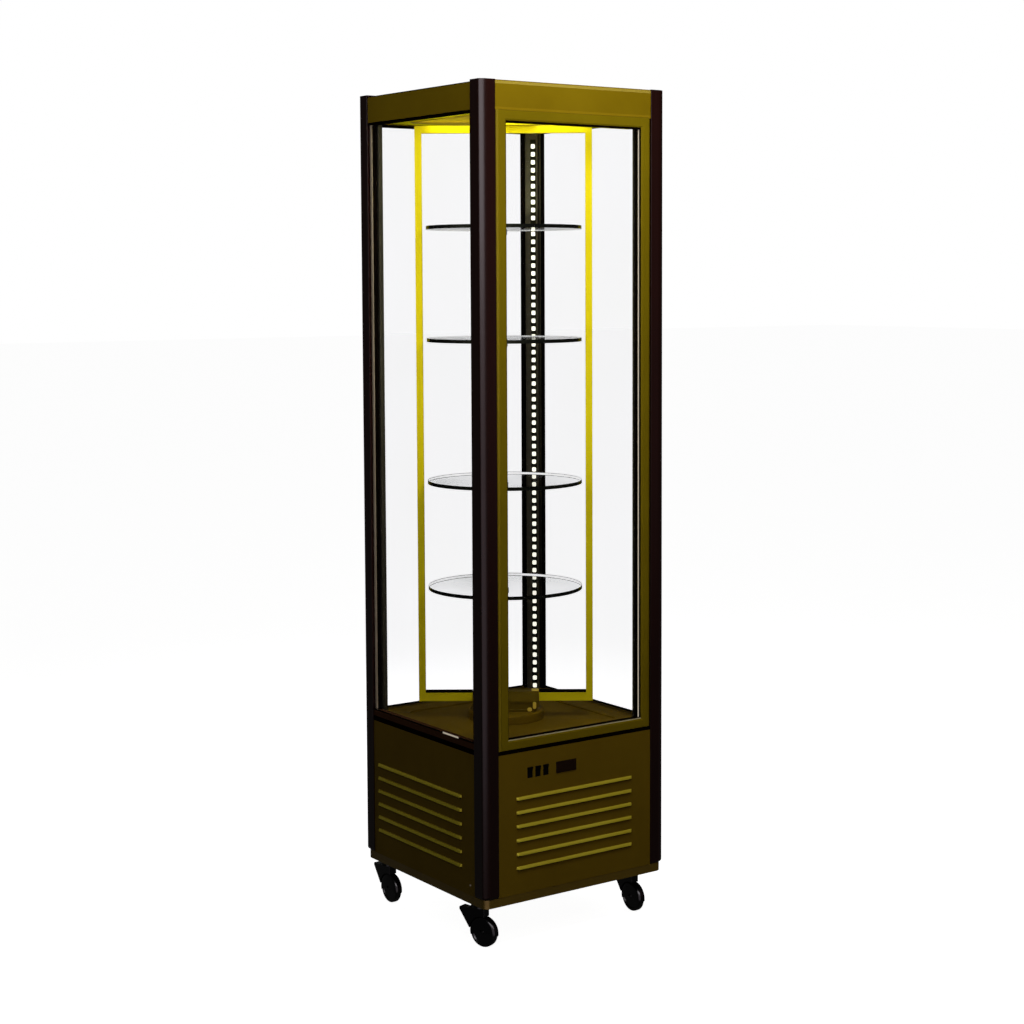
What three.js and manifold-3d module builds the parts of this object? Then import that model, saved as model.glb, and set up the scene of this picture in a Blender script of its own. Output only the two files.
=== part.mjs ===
// Revolving glass display cabinet: a refrigerated glass tower on casters, in millimetres, +Z up.
// The origin is on the floor under the middle of the cabinet, and the door faces -Y.
import * as THREE from 'three';
import Module from 'manifold-3d';
import { mergeVertices } from 'three/addons/utils/BufferGeometryUtils.js';

// Clearances and cutting
const fitGap = 0.3;
const overrun = 5;
const runGap = 1.6;

// Cabinet
const cabinetWidth = 490;
const cabinetDepth = 490;
const cabinetHeight = 1850;
const casterHeight = 102.4;
const trayHeight = 19.3;
const machineHeight = 311.4;
const seamHeight = 5.4;
const faceInset = 2;
const postRise = 4;
const frontFasciaHeight = 55.4;
const sideFasciaHeight = 57.7;
const doorTopGap = 2;

// Corner posts
const postLeg = 38;
const postDepth = 24;
const postRadius = 9;
const postWall = 3;

// Base tray
const trayInset = 3;
const trayWall = 3;
const trayRadius = 16;

// Roof, ceiling and lamp
const roofPlate = 6;
const skirtThickness = 16;
const fasciaSkin = 2.5;
const fasciaFlange = 16;
const fasciaLipInset = 0.8;
const fasciaLip = 1.4;
const ceilingThickness = 6;
const landingDepth = 16;
const landingDrop = 25;
const lampInset = 80;
const lampThickness = 2;
const lampHoleRadius = 46;

// Deck under the carousel
const deckRise = 13;
const deckThickness = 28;
const deckRimWidth = 46;
const deckRecess = 3;
const deckCornerRadius = 22;
const thresholdRise = 11;

// Fixed glazing
const glassThickness = 20;
const glassSheet = 4;
const spacerWidth = 9;
const sillRise = 1.8;
const sillHeight = 20.1;

// Inner corner profiles and light strips
const beadLeg = 22;
const beadNose = 4;
const landingLeg = 38;
const landingNose = 4;
const ledFaceInset = 30;
const stripWidth = 13;
const stripBase = 0.8;
const ledHeight = 1.3;
const ledLength = 12;
const ledPitch = 19.4;
const stripMargin = 22;
const stripShift = 3;

// Door
const doorGap = 1;
const doorThickness = 24;
const stileWidth = 26;
const doorTopRail = 25.1;
const doorBottomRail = 20.6;
const doorGlassThickness = 16;
const glassRebate = 6;
const pivotInset = 7;
const pivotRadius = 2.2;
const pivotClearance = 0.4;
const pivotLength = 12;
const hingePlateWidth = 44;
const hingePlateThickness = 3;
const gasketThickness = 7.8;
const gasketWidth = 12;
const gasketInset = 4;

// Machine panels
const panelThickness = 2.5;
const louvrePitch = 30.3;
const louvreCount = 6;
const louvreRise = 54;
const louvreHood = 7;
const louvreDepth = 4.5;
const louvreWall = 1.5;
const louvreMouth = 4;
const frontLouvreInsetLeft = 85;
const frontLouvreInsetRight = 91.6;
const sideLouvreInsetFront = 88.7;
const sideLouvreInsetRear = 57.5;

// Switches and controller
const switchWidth = 15;
const switchHeight = 27;
const switchPitch = 21;
const switchCount = 3;
const switchInset = 142;
const switchLevel = 383.5;
const switchBodyDepth = 24;
const switchWall = 2.2;
const rockerThickness = 6;
const rockerCrown = 2.2;
const rockerTilt = 0.12;
const rockerPinRadius = 1.2;
const displayWidth = 53.6;
const displayHeight = 25;
const displayInset = 217;
const bezelThickness = 1.6;
const displayBodyInset = 2.5;
const displayBodyDepth = 48;

// Carousel
const carouselX = -11.5;
const carouselY = 8;
const carouselTurn = -35.5 * Math.PI / 180;
const shaftRadius = 6;
const shaftCollarRadius = 20;
const shaftCollarHeight = 12;
const carrierHalfWidth = 197.3;
const carrierUpright = 15;
const carrierDepth = 18;
const carrierLowRise = 35.6;
const carrierLowBar = 19;
const carrierTopBar = 16;
const hubWidth = 150;
const hubDepth = 86;
const hubHeight = 39.7;
const hubShoulderHeight = 24.7;
const hubRidge = 26;
const hubChamfer = 12;
const hubPanelInset = 10;
const hubPanelRecess = 2;
const pedestalRadius = 85.7;
const pedestalHeight = 20.6;
const pedestalEdge = 4;
const topHubHeight = 8.2;
const topHubWidth = 146;
const topHubDepth = 60;
const topHubDrop = 11.5;
const topBearingRadius = 30;
const shelfRadius = 173.6;
const shelfThickness = 8;
const shelfShares = [0.2247, 0.4029, 0.6406, 0.8266];

// Machinery in the base and under the deck
const compressorRadius = 72;
const compressorHeight = 178;
const compressorInset = 125;
const compressorY = 90;
const compressorFoot = 10;
const compressorDome = 38;
const condenserInset = 127;
const condenserThickness = 52;
const condenserWidth = 250;
const condenserHeight = 206;
const finPitch = 12;
const finWidth = 4;
const finDepth = 6;
const fanRadius = 88;
const fanHubRadius = 22;
const fanDepth = 18;
const fanBladeCount = 5;
const fanBladeThickness = 2.2;
const fanBladeAngle = 0.55;
const fanBladeShare = 1.4;
const fanMotorRadius = 36;
const fanMotorLength = 46;
const fanShaftRadius = 4;
const fanSpace = 6;
const motorFootWidth = 50;
const evaporatorWidth = 320;
const evaporatorDepth = 84;
const evaporatorHeight = 84;
const evaporatorRearSpace = 43;
const gearMotorWidth = 96;
const gearMotorDepth = 76;
const gearMotorHeight = 58;
const gearMotorCanRadius = 30;
const gearMotorCanHeight = 46;
const gearMotorSocket = 30;

// Casters: how far each swivel axis stands in from the sides, and the heading of each wheel
const casterInsetX = 38;
const casterInsetFront = 74;
const casterInsetRear = 38;
const headingFrontLeft = -71 * Math.PI / 180;
const headingRearLeft = -89 * Math.PI / 180;
const headingFrontRight = -90 * Math.PI / 180;
const headingRearRight = -80 * Math.PI / 180;
const wheelRadius = 32.5;
const wheelWidth = 15;
const wheelShoulder = 3;
const wheelHubRecess = 2;
const axleRadius = 4;
const casterTrail = 11;
const hoodGap = 0.8;
const hoodWall = 1.6;
const sideWall = 1.8;
const sideGap = 0.6;
const hoodSkirtRise = 26;
const hoodLeadAngle = 175 * Math.PI / 180;
const neckRadius = 17.5;
const swivelRadius = 14;
const swivelHeight = 4;
const stemRadius = 5.5;
const stemHeight = 15;
const leverReach = 50;
const leverTop = 81;
const leverLow = 73;

// Number of straight sides on round pieces
const roundSides = 24;
const fineSides = 40;
const wheelSides = 28;
const smallSides = 16;
const arcSegments = 7;
const plainSegments = 6;
const doorSegments = 5;
const cornerSegments = 4;
const postArcSteps = 6;
const domeSteps = 4;

// Heights worked out from the sizes above
const trayTop = casterHeight + trayHeight;
const machineTop = trayTop + machineHeight;
const doorBottom = machineTop + seamHeight;
const roofTop = cabinetHeight - postRise;
const frontFasciaBottom = roofTop - frontFasciaHeight;
const sideFasciaBottom = roofTop - sideFasciaHeight;
const doorTop = frontFasciaBottom - doorTopGap;
const ceilingBottom = frontFasciaBottom - fitGap;
const deckTop = machineTop + deckRise;
const deckFloor = deckTop - deckRecess;
const sillBottom = machineTop + sillRise;
const sillTop = sillBottom + sillHeight;
const windowBottom = doorBottom + doorBottomRail;
const windowTop = doorTop - doorTopRail;
const trayFloor = casterHeight + trayWall;

// Half widths worked out from the sizes above
const halfWidth = cabinetWidth / 2;
const halfDepth = cabinetDepth / 2;
const bayX = halfWidth - postLeg;
const bayY = halfDepth - postLeg;
const coreX = halfWidth - postDepth;
const coreY = halfDepth - postDepth;
const gasketBack = halfDepth - doorThickness - gasketThickness;
const landingFace = gasketBack - fitGap;
const switchCentre = switchInset - halfWidth;
const displayCentre = displayInset - halfWidth;
const condenserX = halfWidth - condenserInset;

const wasm = await Module();
wasm.setup();

// Finishes
function finish(color, roughness, metalness) {
  return new THREE.MeshStandardMaterial({ color, roughness, metalness });
}
const bronze = finish(0x6b5a10, 0.38, 0.75);
const darkBronze = finish(0x3a2f0c, 0.45, 0.7);
const postBrown = finish(0x1c0b0c, 0.28, 0.4);
const gold = finish(0xb89a18, 0.32, 0.85);
const black = finish(0x0b0a0a, 0.45, 0.1);
const rubber = finish(0x141312, 0.8, 0);
const steel = finish(0xb9bcc0, 0.3, 0.95);
const finMetal = finish(0x8c8f92, 0.45, 0.8);
const lampWhite = finish(0xfff27a, 0.5, 0);
const ledWhite = finish(0xfffbe8, 0.4, 0);
const glass = new THREE.MeshStandardMaterial({
  color: 0xeef4f2,
  roughness: 0.05,
  metalness: 0,
  transparent: true,
  opacity: 0.35,
});

// Solids from geometries, and back again
function solid(geometry) {
  const bare = geometry.clone();
  for (const name of Object.keys(bare.attributes)) {
    if (name !== 'position') bare.deleteAttribute(name);
  }
  const merged = mergeVertices(bare);
  return new wasm.Manifold(new wasm.Mesh({
    numProp: 3,
    vertProperties: new Float32Array(merged.attributes.position.array),
    triVerts: new Uint32Array(merged.index.array),
  }));
}

function geometryOf(body) {
  const mesh = body.getMesh();
  const geometry = new THREE.BufferGeometry();
  geometry.setAttribute('position', new THREE.BufferAttribute(mesh.vertProperties, 3));
  geometry.setIndex(new THREE.BufferAttribute(mesh.triVerts, 1));
  const flat = geometry.toNonIndexed();
  flat.computeVertexNormals();
  return flat;
}

function join(first, ...others) {
  return others.reduce((sum, part) => sum.add(solid(part)), solid(first));
}

function cut(body, ...tools) {
  return tools.reduce((rest, tool) => rest.subtract(solid(tool)), body);
}

// Basic forms, each given by its limits along X, Y and Z
function block(x0, x1, y0, y1, z0, z1) {
  const geometry = new THREE.BoxGeometry(x1 - x0, y1 - y0, z1 - z0);
  return geometry.translate((x0 + x1) / 2, (y0 + y1) / 2, (z0 + z1) / 2);
}

function drum(radius, z0, z1, x = 0, y = 0, sides = roundSides) {
  const geometry = new THREE.CylinderGeometry(radius, radius, z1 - z0, sides);
  return geometry.rotateX(Math.PI / 2).translate(x, y, (z0 + z1) / 2);
}

function outline(points) {
  return new THREE.Shape(points.map(([a, b]) => new THREE.Vector2(a, b)));
}

function extrude(shape, length, curveSegments = plainSegments) {
  return new THREE.ExtrudeGeometry(shape, { depth: length, bevelEnabled: false, curveSegments });
}

// An outline in X and Y, extruded upwards
function upright(shape, z0, z1, curveSegments) {
  return extrude(shape, z1 - z0, curveSegments).translate(0, 0, z0);
}

// An outline in Y and Z, extruded along X
function alongX(shape, x0, x1) {
  const turn = new THREE.Matrix4().makeBasis(
    new THREE.Vector3(0, 1, 0),
    new THREE.Vector3(0, 0, 1),
    new THREE.Vector3(1, 0, 0),
  );
  return extrude(shape, x1 - x0).applyMatrix4(turn).translate(x0, 0, 0);
}

// An outline in X and Z, extruded along Y
function alongY(shape, y0, y1, curveSegments) {
  const turn = new THREE.Matrix4().makeBasis(
    new THREE.Vector3(1, 0, 0),
    new THREE.Vector3(0, 0, 1),
    new THREE.Vector3(0, -1, 0),
  );
  return extrude(shape, y1 - y0, curveSegments).applyMatrix4(turn).translate(0, y1, 0);
}

function roundedRectangle(x0, x1, y0, y1, radius) {
  const shape = new THREE.Shape();
  shape.moveTo(x0 + radius, y0);
  shape.lineTo(x1 - radius, y0);
  shape.absarc(x1 - radius, y0 + radius, radius, -Math.PI / 2, 0, false);
  shape.lineTo(x1, y1 - radius);
  shape.absarc(x1 - radius, y1 - radius, radius, 0, Math.PI / 2, false);
  shape.lineTo(x0 + radius, y1);
  shape.absarc(x0 + radius, y1 - radius, radius, Math.PI / 2, Math.PI, false);
  shape.lineTo(x0, y0 + radius);
  shape.absarc(x0 + radius, y0 + radius, radius, Math.PI, Math.PI * 1.5, false);
  return shape;
}

function lathe(points, sides = roundSides) {
  const profile = points.map(([r, z]) => new THREE.Vector2(r, z));
  return new THREE.LatheGeometry(profile, sides).rotateX(Math.PI / 2);
}

function mesh(name, geometry, material) {
  const item = new THREE.Mesh(geometry, material);
  item.name = name;
  return item;
}

const cabinet = new THREE.Group();

// The four corners: name, and the side of the cabinet on which each lies
const corners = [
  { name: 'front_left', x: -1, y: -1, heading: headingFrontLeft },
  { name: 'front_right', x: 1, y: -1, heading: headingFrontRight },
  { name: 'rear_left', x: -1, y: 1, heading: headingRearLeft },
  { name: 'rear_right', x: 1, y: 1, heading: headingRearRight },
];

// An outline drawn inwards from a corner, u along X and v along Y, mirrored to its place
function cornerShape(corner, points) {
  const placed = points.map(([u, v]) => [corner.x * (halfWidth - u), corner.y * (halfDepth - v)]);
  return outline(corner.x * corner.y > 0 ? placed : placed.reverse());
}

function casterPlace(corner) {
  const inset = corner.y > 0 ? casterInsetRear : casterInsetFront;
  return [corner.x * (halfWidth - casterInsetX), corner.y * (halfDepth - inset)];
}

// Base tray: a shallow pan with a hole for each caster stem
function baseTray() {
  const x = halfWidth - trayInset;
  const y = halfDepth - trayInset;
  const rim = roundedRectangle(-x, x, -y, y, trayRadius);
  const pan = solid(upright(rim, casterHeight, trayTop, cornerSegments));
  const innerX = x - trayWall;
  const innerY = y - trayWall;
  const innerRim = roundedRectangle(-innerX, innerX, -innerY, innerY, trayRadius - trayWall);
  const hollow = upright(innerRim, trayFloor, trayTop + overrun, cornerSegments);
  const holes = corners.map((corner) => {
    const [stemX, stemY] = casterPlace(corner);
    return drum(stemRadius + fitGap, casterHeight - overrun, trayTop, stemX, stemY, smallSides);
  });
  cabinet.add(mesh('base_tray', geometryOf(cut(pan, hollow, ...holes)), bronze));
}

// Corner posts: L sections with a rounded outer edge, hollow up to the closed top
function postArc(inset, radius, steps) {
  const points = [];
  for (let step = 0; step <= steps; step += 1) {
    const angle = Math.PI * (1 + step / (2 * steps));
    points.push([inset + radius * (1 + Math.cos(angle)), inset + radius * (1 + Math.sin(angle))]);
  }
  return points;
}

function postPoints(inset) {
  return [
    ...postArc(inset, postRadius - inset, postArcSteps),
    [postLeg - inset, inset],
    [postLeg - inset, postDepth - inset],
    [postDepth - inset, postDepth - inset],
    [postDepth - inset, postLeg - inset],
    [inset, postLeg - inset],
  ];
}

function cornerPost(corner) {
  const bottom = trayTop + fitGap;
  const body = solid(upright(cornerShape(corner, postPoints(0)), bottom, cabinetHeight));
  const inside = cornerShape(corner, postPoints(postWall));
  const hollow = upright(inside, bottom - overrun, cabinetHeight - postWall);
  cabinet.add(mesh(`corner_post_${corner.name}`, geometryOf(cut(body, hollow)), postBrown));
}

// Roof: a plate between the posts with a skirt on the left, right and rear
function roofCap() {
  const x = halfWidth - faceInset;
  const y = halfDepth - faceInset;
  const armX = bayX - fitGap;
  const armY = bayY - fitGap;
  const front = -y + fasciaFlange + fitGap;
  const insetX = coreX - fitGap;
  const insetY = coreY - fitGap;
  const body = join(
    block(-armX, armX, front, y, sideFasciaBottom, roofTop),
    block(-x, x, -armY, armY, sideFasciaBottom, roofTop),
    block(-insetX, insetX, -insetY, insetY, sideFasciaBottom, roofTop),
  );
  const insideX = x - skirtThickness;
  const insideY = y - skirtThickness;
  const inside = block(
    -insideX,
    insideX,
    -y - overrun,
    insideY,
    sideFasciaBottom - overrun,
    roofTop - roofPlate,
  );
  cabinet.add(mesh('roof_cap', geometryOf(cut(body, inside)), bronze));
}

// Front fascia: a skin with a flange at the top and a set-back lip over the gap to the door
function frontFascia() {
  const face = -(halfDepth - faceInset);
  const reach = bayX - fitGap;
  const back = face + fasciaSkin;
  const body = join(
    block(-reach, reach, face, back, frontFasciaBottom, roofTop),
    block(-reach, reach, face, face + fasciaFlange, roofTop - fasciaSkin, roofTop),
    block(-reach, reach, face + fasciaLipInset, back, frontFasciaBottom - fasciaLip, roofTop - fasciaSkin),
  );
  cabinet.add(mesh('front_fascia', geometryOf(body), bronze));
}

// Ceiling with the lip on which the door gasket closes, and the lamp under it
function ceiling() {
  const x = coreX - fitGap;
  const y = coreY - fitGap;
  const lipX = halfWidth - postDepth - landingLeg - fitGap * 2;
  const plate = block(-x, x, -landingFace, y, ceilingBottom, ceilingBottom + ceilingThickness);
  const lipBottom = ceilingBottom - landingDrop;
  const lipBack = -landingFace + landingDepth;
  const lip = block(-lipX, lipX, -landingFace, lipBack, lipBottom, ceilingBottom + fitGap);
  cabinet.add(mesh('ceiling_panel', geometryOf(join(plate, lip)), gold));
  const lampX = halfWidth - lampInset;
  const lampY = halfDepth - lampInset;
  const top = ceilingBottom - fitGap;
  const bottom = top - lampThickness;
  const lampShape = roundedRectangle(-lampX, lampX, -lampY, lampY, deckCornerRadius);
  const lamp = solid(upright(lampShape, bottom, top, cornerSegments));
  const hole = drum(lampHoleRadius, bottom - overrun, top + overrun, carouselX, carouselY);
  cabinet.add(mesh('ceiling_lamp', geometryOf(cut(lamp, hole)), lampWhite));
}

// Deck: the floor of the display space, with a rim, a shallow recess and the door threshold
function deck() {
  const x = coreX - fitGap;
  const y = coreY - fitGap;
  const bottom = deckTop - deckThickness;
  const base = block(-x, x, -landingFace, y, bottom, deckTop);
  const lipX = halfWidth - postDepth - landingLeg - fitGap * 2;
  const lipBack = -landingFace + landingDepth;
  const lip = block(-lipX, lipX, -landingFace, lipBack, deckFloor, deckTop + thresholdRise);
  const inX = x - deckRimWidth;
  const inY = y - deckRimWidth;
  const floorShape = roundedRectangle(-inX, inX, -inY, inY, deckCornerRadius);
  const recess = upright(floorShape, deckFloor, deckTop + overrun, cornerSegments);
  const bore = drum(shaftRadius + runGap, bottom - overrun, deckTop + overrun, carouselX, carouselY);
  cabinet.add(mesh('deck', geometryOf(cut(join(base, lip), recess, bore)), darkBronze));
}

// Double glazing: two sheets with a spacer round the top and sides, open at the lower edge
function glazedUnit(x0, x1, y0, y1, z0, z1) {
  const space = block(
    x0 + spacerWidth,
    x1 - spacerWidth,
    y0 + glassSheet,
    y1 - glassSheet,
    z0 - overrun,
    z1 - spacerWidth,
  );
  return geometryOf(cut(solid(block(x0, x1, y0, y1, z0, z1)), space));
}

// Fixed glazing on the left, right and rear, each on a dark sill
function glazing() {
  const sides = [
    { name: 'left', turn: -Math.PI / 2, reach: halfWidth, bay: bayY },
    { name: 'right', turn: Math.PI / 2, reach: halfWidth, bay: bayY },
    { name: 'rear', turn: Math.PI, reach: halfDepth, bay: bayX },
  ];
  for (const side of sides) {
    const outer = -(side.reach - faceInset);
    const half = side.bay - fitGap;
    const inner = -(side.reach - postDepth) - fitGap;
    const sill = mesh(`sill_${side.name}`, block(-half, half, outer, inner, sillBottom, sillTop), postBrown);
    const pane = mesh(
      `glass_${side.name}`,
      glazedUnit(-half, half, outer, outer + glassThickness, sillTop + fitGap, sideFasciaBottom - fitGap),
      glass,
    );
    sill.rotation.z = side.turn;
    pane.rotation.z = side.turn;
    cabinet.add(sill, pane);
  }
}

// Inner corner profiles: beads behind the fixed glass, and the gasket landings beside the door
function cornerProfile(corner) {
  const start = postDepth + fitGap;
  const front = halfDepth - landingFace;
  const beadEnd = start + beadLeg;
  const bead = [
    [start, start],
    [beadEnd, start],
    [beadEnd, start + beadNose],
    [start + beadNose, beadEnd],
    [start, beadEnd],
  ];
  const landingEnd = start + landingLeg;
  const landing = [
    [start, front],
    [landingEnd, front],
    [landingEnd, front + landingNose],
    [start + ledFaceInset, front + landingNose],
    [start + landingNose, front + ledFaceInset],
    [start, front + ledFaceInset],
  ];
  const shape = cornerShape(corner, corner.y > 0 ? bead : landing);
  const body = upright(shape, deckTop + fitGap, ceilingBottom - fitGap);
  cabinet.add(mesh(`corner_profile_${corner.name}`, body, black));
}

// Light strips: a comb of raised lamps on a thin base, facing the middle of the cabinet
function ledStrip(corner) {
  const bottom = deckTop + stripMargin;
  const top = ceilingBottom - stripMargin;
  const count = Math.floor((top - bottom) / ledPitch);
  const points = [[0, bottom]];
  for (let index = 0; index < count; index += 1) {
    const low = bottom + ledPitch * (index + 1) - ledLength;
    points.push([stripBase, low], [stripBase + ledHeight, low]);
    points.push([stripBase + ledHeight, low + ledLength], [stripBase, low + ledLength]);
  }
  points.push([stripBase, top], [0, top]);
  points.splice(1, 0, [stripBase, bottom]);
  const comb = alongY(outline(points), -stripWidth / 2, stripWidth / 2);
  const strip = mesh(`led_strip_${corner.name}`, comb, ledWhite);
  const start = postDepth + fitGap;
  const front = halfDepth - landingFace;
  const rearMiddle = start + (beadLeg + beadNose) / 2;
  const frontMiddle = (ledFaceInset + landingNose) / 2;
  const u = (corner.y > 0 ? rearMiddle : start + frontMiddle) - stripShift;
  const v = (corner.y > 0 ? rearMiddle : front + frontMiddle) + stripShift;
  const lift = fitGap / Math.SQRT2;
  strip.rotation.z = Math.atan2(-corner.y, -corner.x);
  strip.position.set(corner.x * (halfWidth - u - lift), corner.y * (halfDepth - v - lift), 0);
  cabinet.add(strip);
}

// Machine panels: flat sheets with pressed louvres, drawn facing -Y and turned to their side
function louvrePanel(side) {
  const half = side.bay - fitGap;
  const bottom = trayTop + fitGap;
  const sheet = block(-half, half, 0, panelThickness, bottom, side.top);
  const hoods = [];
  const mouths = [];
  for (let index = 0; index < louvreCount; index += 1) {
    const lip = bottom + louvreRise + index * louvrePitch;
    const inside = panelThickness / 2;
    const back = panelThickness + overrun;
    const front = louvreWall - louvreDepth;
    const hood = [
      [inside, lip],
      [inside, lip + louvreHood + louvreWall],
      [0, lip + louvreHood + louvreWall],
      [-louvreDepth, lip + louvreWall],
      [-louvreDepth, lip],
    ];
    const mouth = [
      [back, lip - louvreMouth],
      [back, lip + louvreHood - louvreWall],
      [0, lip + louvreHood - louvreWall],
      [front, lip + louvreWall],
      [front, lip - louvreMouth],
    ];
    hoods.push(alongX(outline(hood), side.from, side.to));
    mouths.push(alongX(outline(mouth), side.from + louvreWall, side.to - louvreWall));
  }
  const body = cut(join(sheet, ...hoods), ...mouths, ...side.holes);
  const panel = mesh(`machine_panel_${side.name}`, geometryOf(body), bronze);
  panel.rotation.z = side.turn;
  const reach = side.reach - faceInset;
  panel.position.set(reach * Math.sin(side.turn), -reach * Math.cos(side.turn), 0);
  cabinet.add(panel);
}

function switchX(index) {
  return switchCentre + (index - (switchCount - 1) / 2) * switchPitch;
}

function machinePanels() {
  const holes = [];
  for (let index = 0; index < switchCount; index += 1) {
    const x = switchX(index);
    const half = switchWidth / 2;
    const tall = switchHeight / 2;
    holes.push(block(x - half, x + half, -overrun, overrun, switchLevel - tall, switchLevel + tall));
  }
  const halfBody = displayWidth / 2 - displayBodyInset;
  const tallBody = displayHeight / 2 - displayBodyInset;
  holes.push(block(
    displayCentre - halfBody - fitGap,
    displayCentre + halfBody + fitGap,
    -overrun,
    overrun,
    switchLevel - tallBody - fitGap,
    switchLevel + tallBody + fitGap,
  ));
  const sideTop = sillBottom - fitGap;
  const front = { name: 'front', turn: 0, reach: halfDepth, bay: bayX, top: machineTop };
  const rear = { name: 'rear', turn: Math.PI, reach: halfDepth, bay: bayX, top: sideTop };
  const left = { name: 'left', turn: -Math.PI / 2, reach: halfWidth, bay: bayY, top: sideTop };
  const right = { name: 'right', turn: Math.PI / 2, reach: halfWidth, bay: bayY, top: sideTop };
  const leftEnd = frontLouvreInsetLeft - halfWidth;
  const rightEnd = halfWidth - frontLouvreInsetRight;
  const frontEnd = sideLouvreInsetFront - halfDepth;
  const rearEnd = halfDepth - sideLouvreInsetRear;
  louvrePanel({ ...front, from: leftEnd, to: rightEnd, holes });
  louvrePanel({ ...rear, from: -rightEnd, to: -leftEnd, holes: [] });
  louvrePanel({ ...left, from: -rearEnd, to: -frontEnd, holes: [] });
  louvrePanel({ ...right, from: frontEnd, to: rearEnd, holes: [] });
}

// A round pin along X
function crossPin(radius, length, sides = smallSides) {
  return new THREE.CylinderGeometry(radius, radius, length, sides).rotateZ(Math.PI / 2);
}

// Switches: one housing clipped behind the front panel, with three rockers on pins
function switches() {
  const skin = -(halfDepth - faceInset - panelThickness) + fitGap;
  const span = (switchCount - 1) * switchPitch + switchWidth;
  const left = switchCentre - span / 2 - switchWall;
  const right = switchCentre + span / 2 + switchWall;
  const low = switchLevel - switchHeight / 2 - switchWall;
  const high = switchLevel + switchHeight / 2 + switchWall;
  const pockets = [];
  const half = switchWidth / 2;
  const tall = switchHeight / 2;
  const pocketBack = skin + switchBodyDepth - switchWall;
  const pivotY = skin + rockerThickness / 2;
  const front = skin - overrun;
  const pins = [];
  for (let index = 0; index < switchCount; index += 1) {
    const x = switchX(index);
    pockets.push(block(x - half, x + half, front, pocketBack, switchLevel - tall, switchLevel + tall));
    pins.push(crossPin(rockerPinRadius, switchWidth + switchWall).translate(x, pivotY, switchLevel));
    rocker(index, x, pivotY);
  }
  const box = solid(block(left, right, skin, skin + switchBodyDepth, low, high));
  const body = pins.reduce((sum, pin) => sum.add(solid(pin)), cut(box, ...pockets));
  cabinet.add(mesh('switch_housing', geometryOf(body), black));
}

// A rocker: two faces that meet in a shallow valley, bored for its pin
function rocker(index, x, pivotY) {
  const tall = switchHeight / 2 - runGap;
  const front = -rockerThickness / 2 - panelThickness;
  const back = rockerThickness / 2;
  const valley = front + rockerCrown / 2;
  const points = [
    [back, -tall / 2],
    [front + rockerCrown, -tall],
    [front - rockerCrown / 2, -tall],
    [valley, 0],
    [front - rockerCrown / 2, tall],
    [front + rockerCrown, tall],
    [back, tall / 2],
  ];
  const half = switchWidth / 2 - fitGap;
  const body = solid(alongX(outline(points.reverse()), -half, half));
  const bore = crossPin(rockerPinRadius + fitGap, switchWidth + overrun);
  const key = mesh(`switch_rocker_${index + 1}`, geometryOf(cut(body, bore)), black);
  key.rotation.x = rockerTilt;
  key.position.set(x, pivotY, switchLevel);
  cabinet.add(key);
}

// Temperature controller: a bezel in front of the panel and its case behind
function controller() {
  const face = -(halfDepth - faceInset) - fitGap;
  const half = displayWidth / 2;
  const tall = displayHeight / 2;
  const bodyHalf = half - displayBodyInset;
  const bodyTall = tall - displayBodyInset;
  const back = face + displayBodyDepth;
  const body = join(
    block(
      displayCentre - half,
      displayCentre + half,
      face - bezelThickness,
      face,
      switchLevel - tall,
      switchLevel + tall,
    ),
    block(
      displayCentre - bodyHalf,
      displayCentre + bodyHalf,
      face - bezelThickness / 2,
      back,
      switchLevel - bodyTall,
      switchLevel + bodyTall,
    ),
  );
  cabinet.add(mesh('temperature_controller', geometryOf(body), black));
}

// Door: a frame with a glazed window, rounded at its long edges, on pivots at the right
const pivotX = bayX - doorGap - pivotInset;
const pivotY = -halfDepth + pivotInset;

function doorShape() {
  const x = bayX - doorGap;
  const front = -halfDepth;
  const back = front + doorThickness;
  const shape = new THREE.Shape();
  shape.moveTo(-x + pivotInset, front);
  shape.lineTo(x - pivotInset, front);
  shape.absarc(x - pivotInset, front + pivotInset, pivotInset, -Math.PI / 2, 0, false);
  shape.lineTo(x, back);
  shape.lineTo(-x, back);
  shape.lineTo(-x, front + pivotInset);
  shape.absarc(-x + pivotInset, front + pivotInset, pivotInset, Math.PI, Math.PI * 1.5, false);
  return shape;
}

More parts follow.
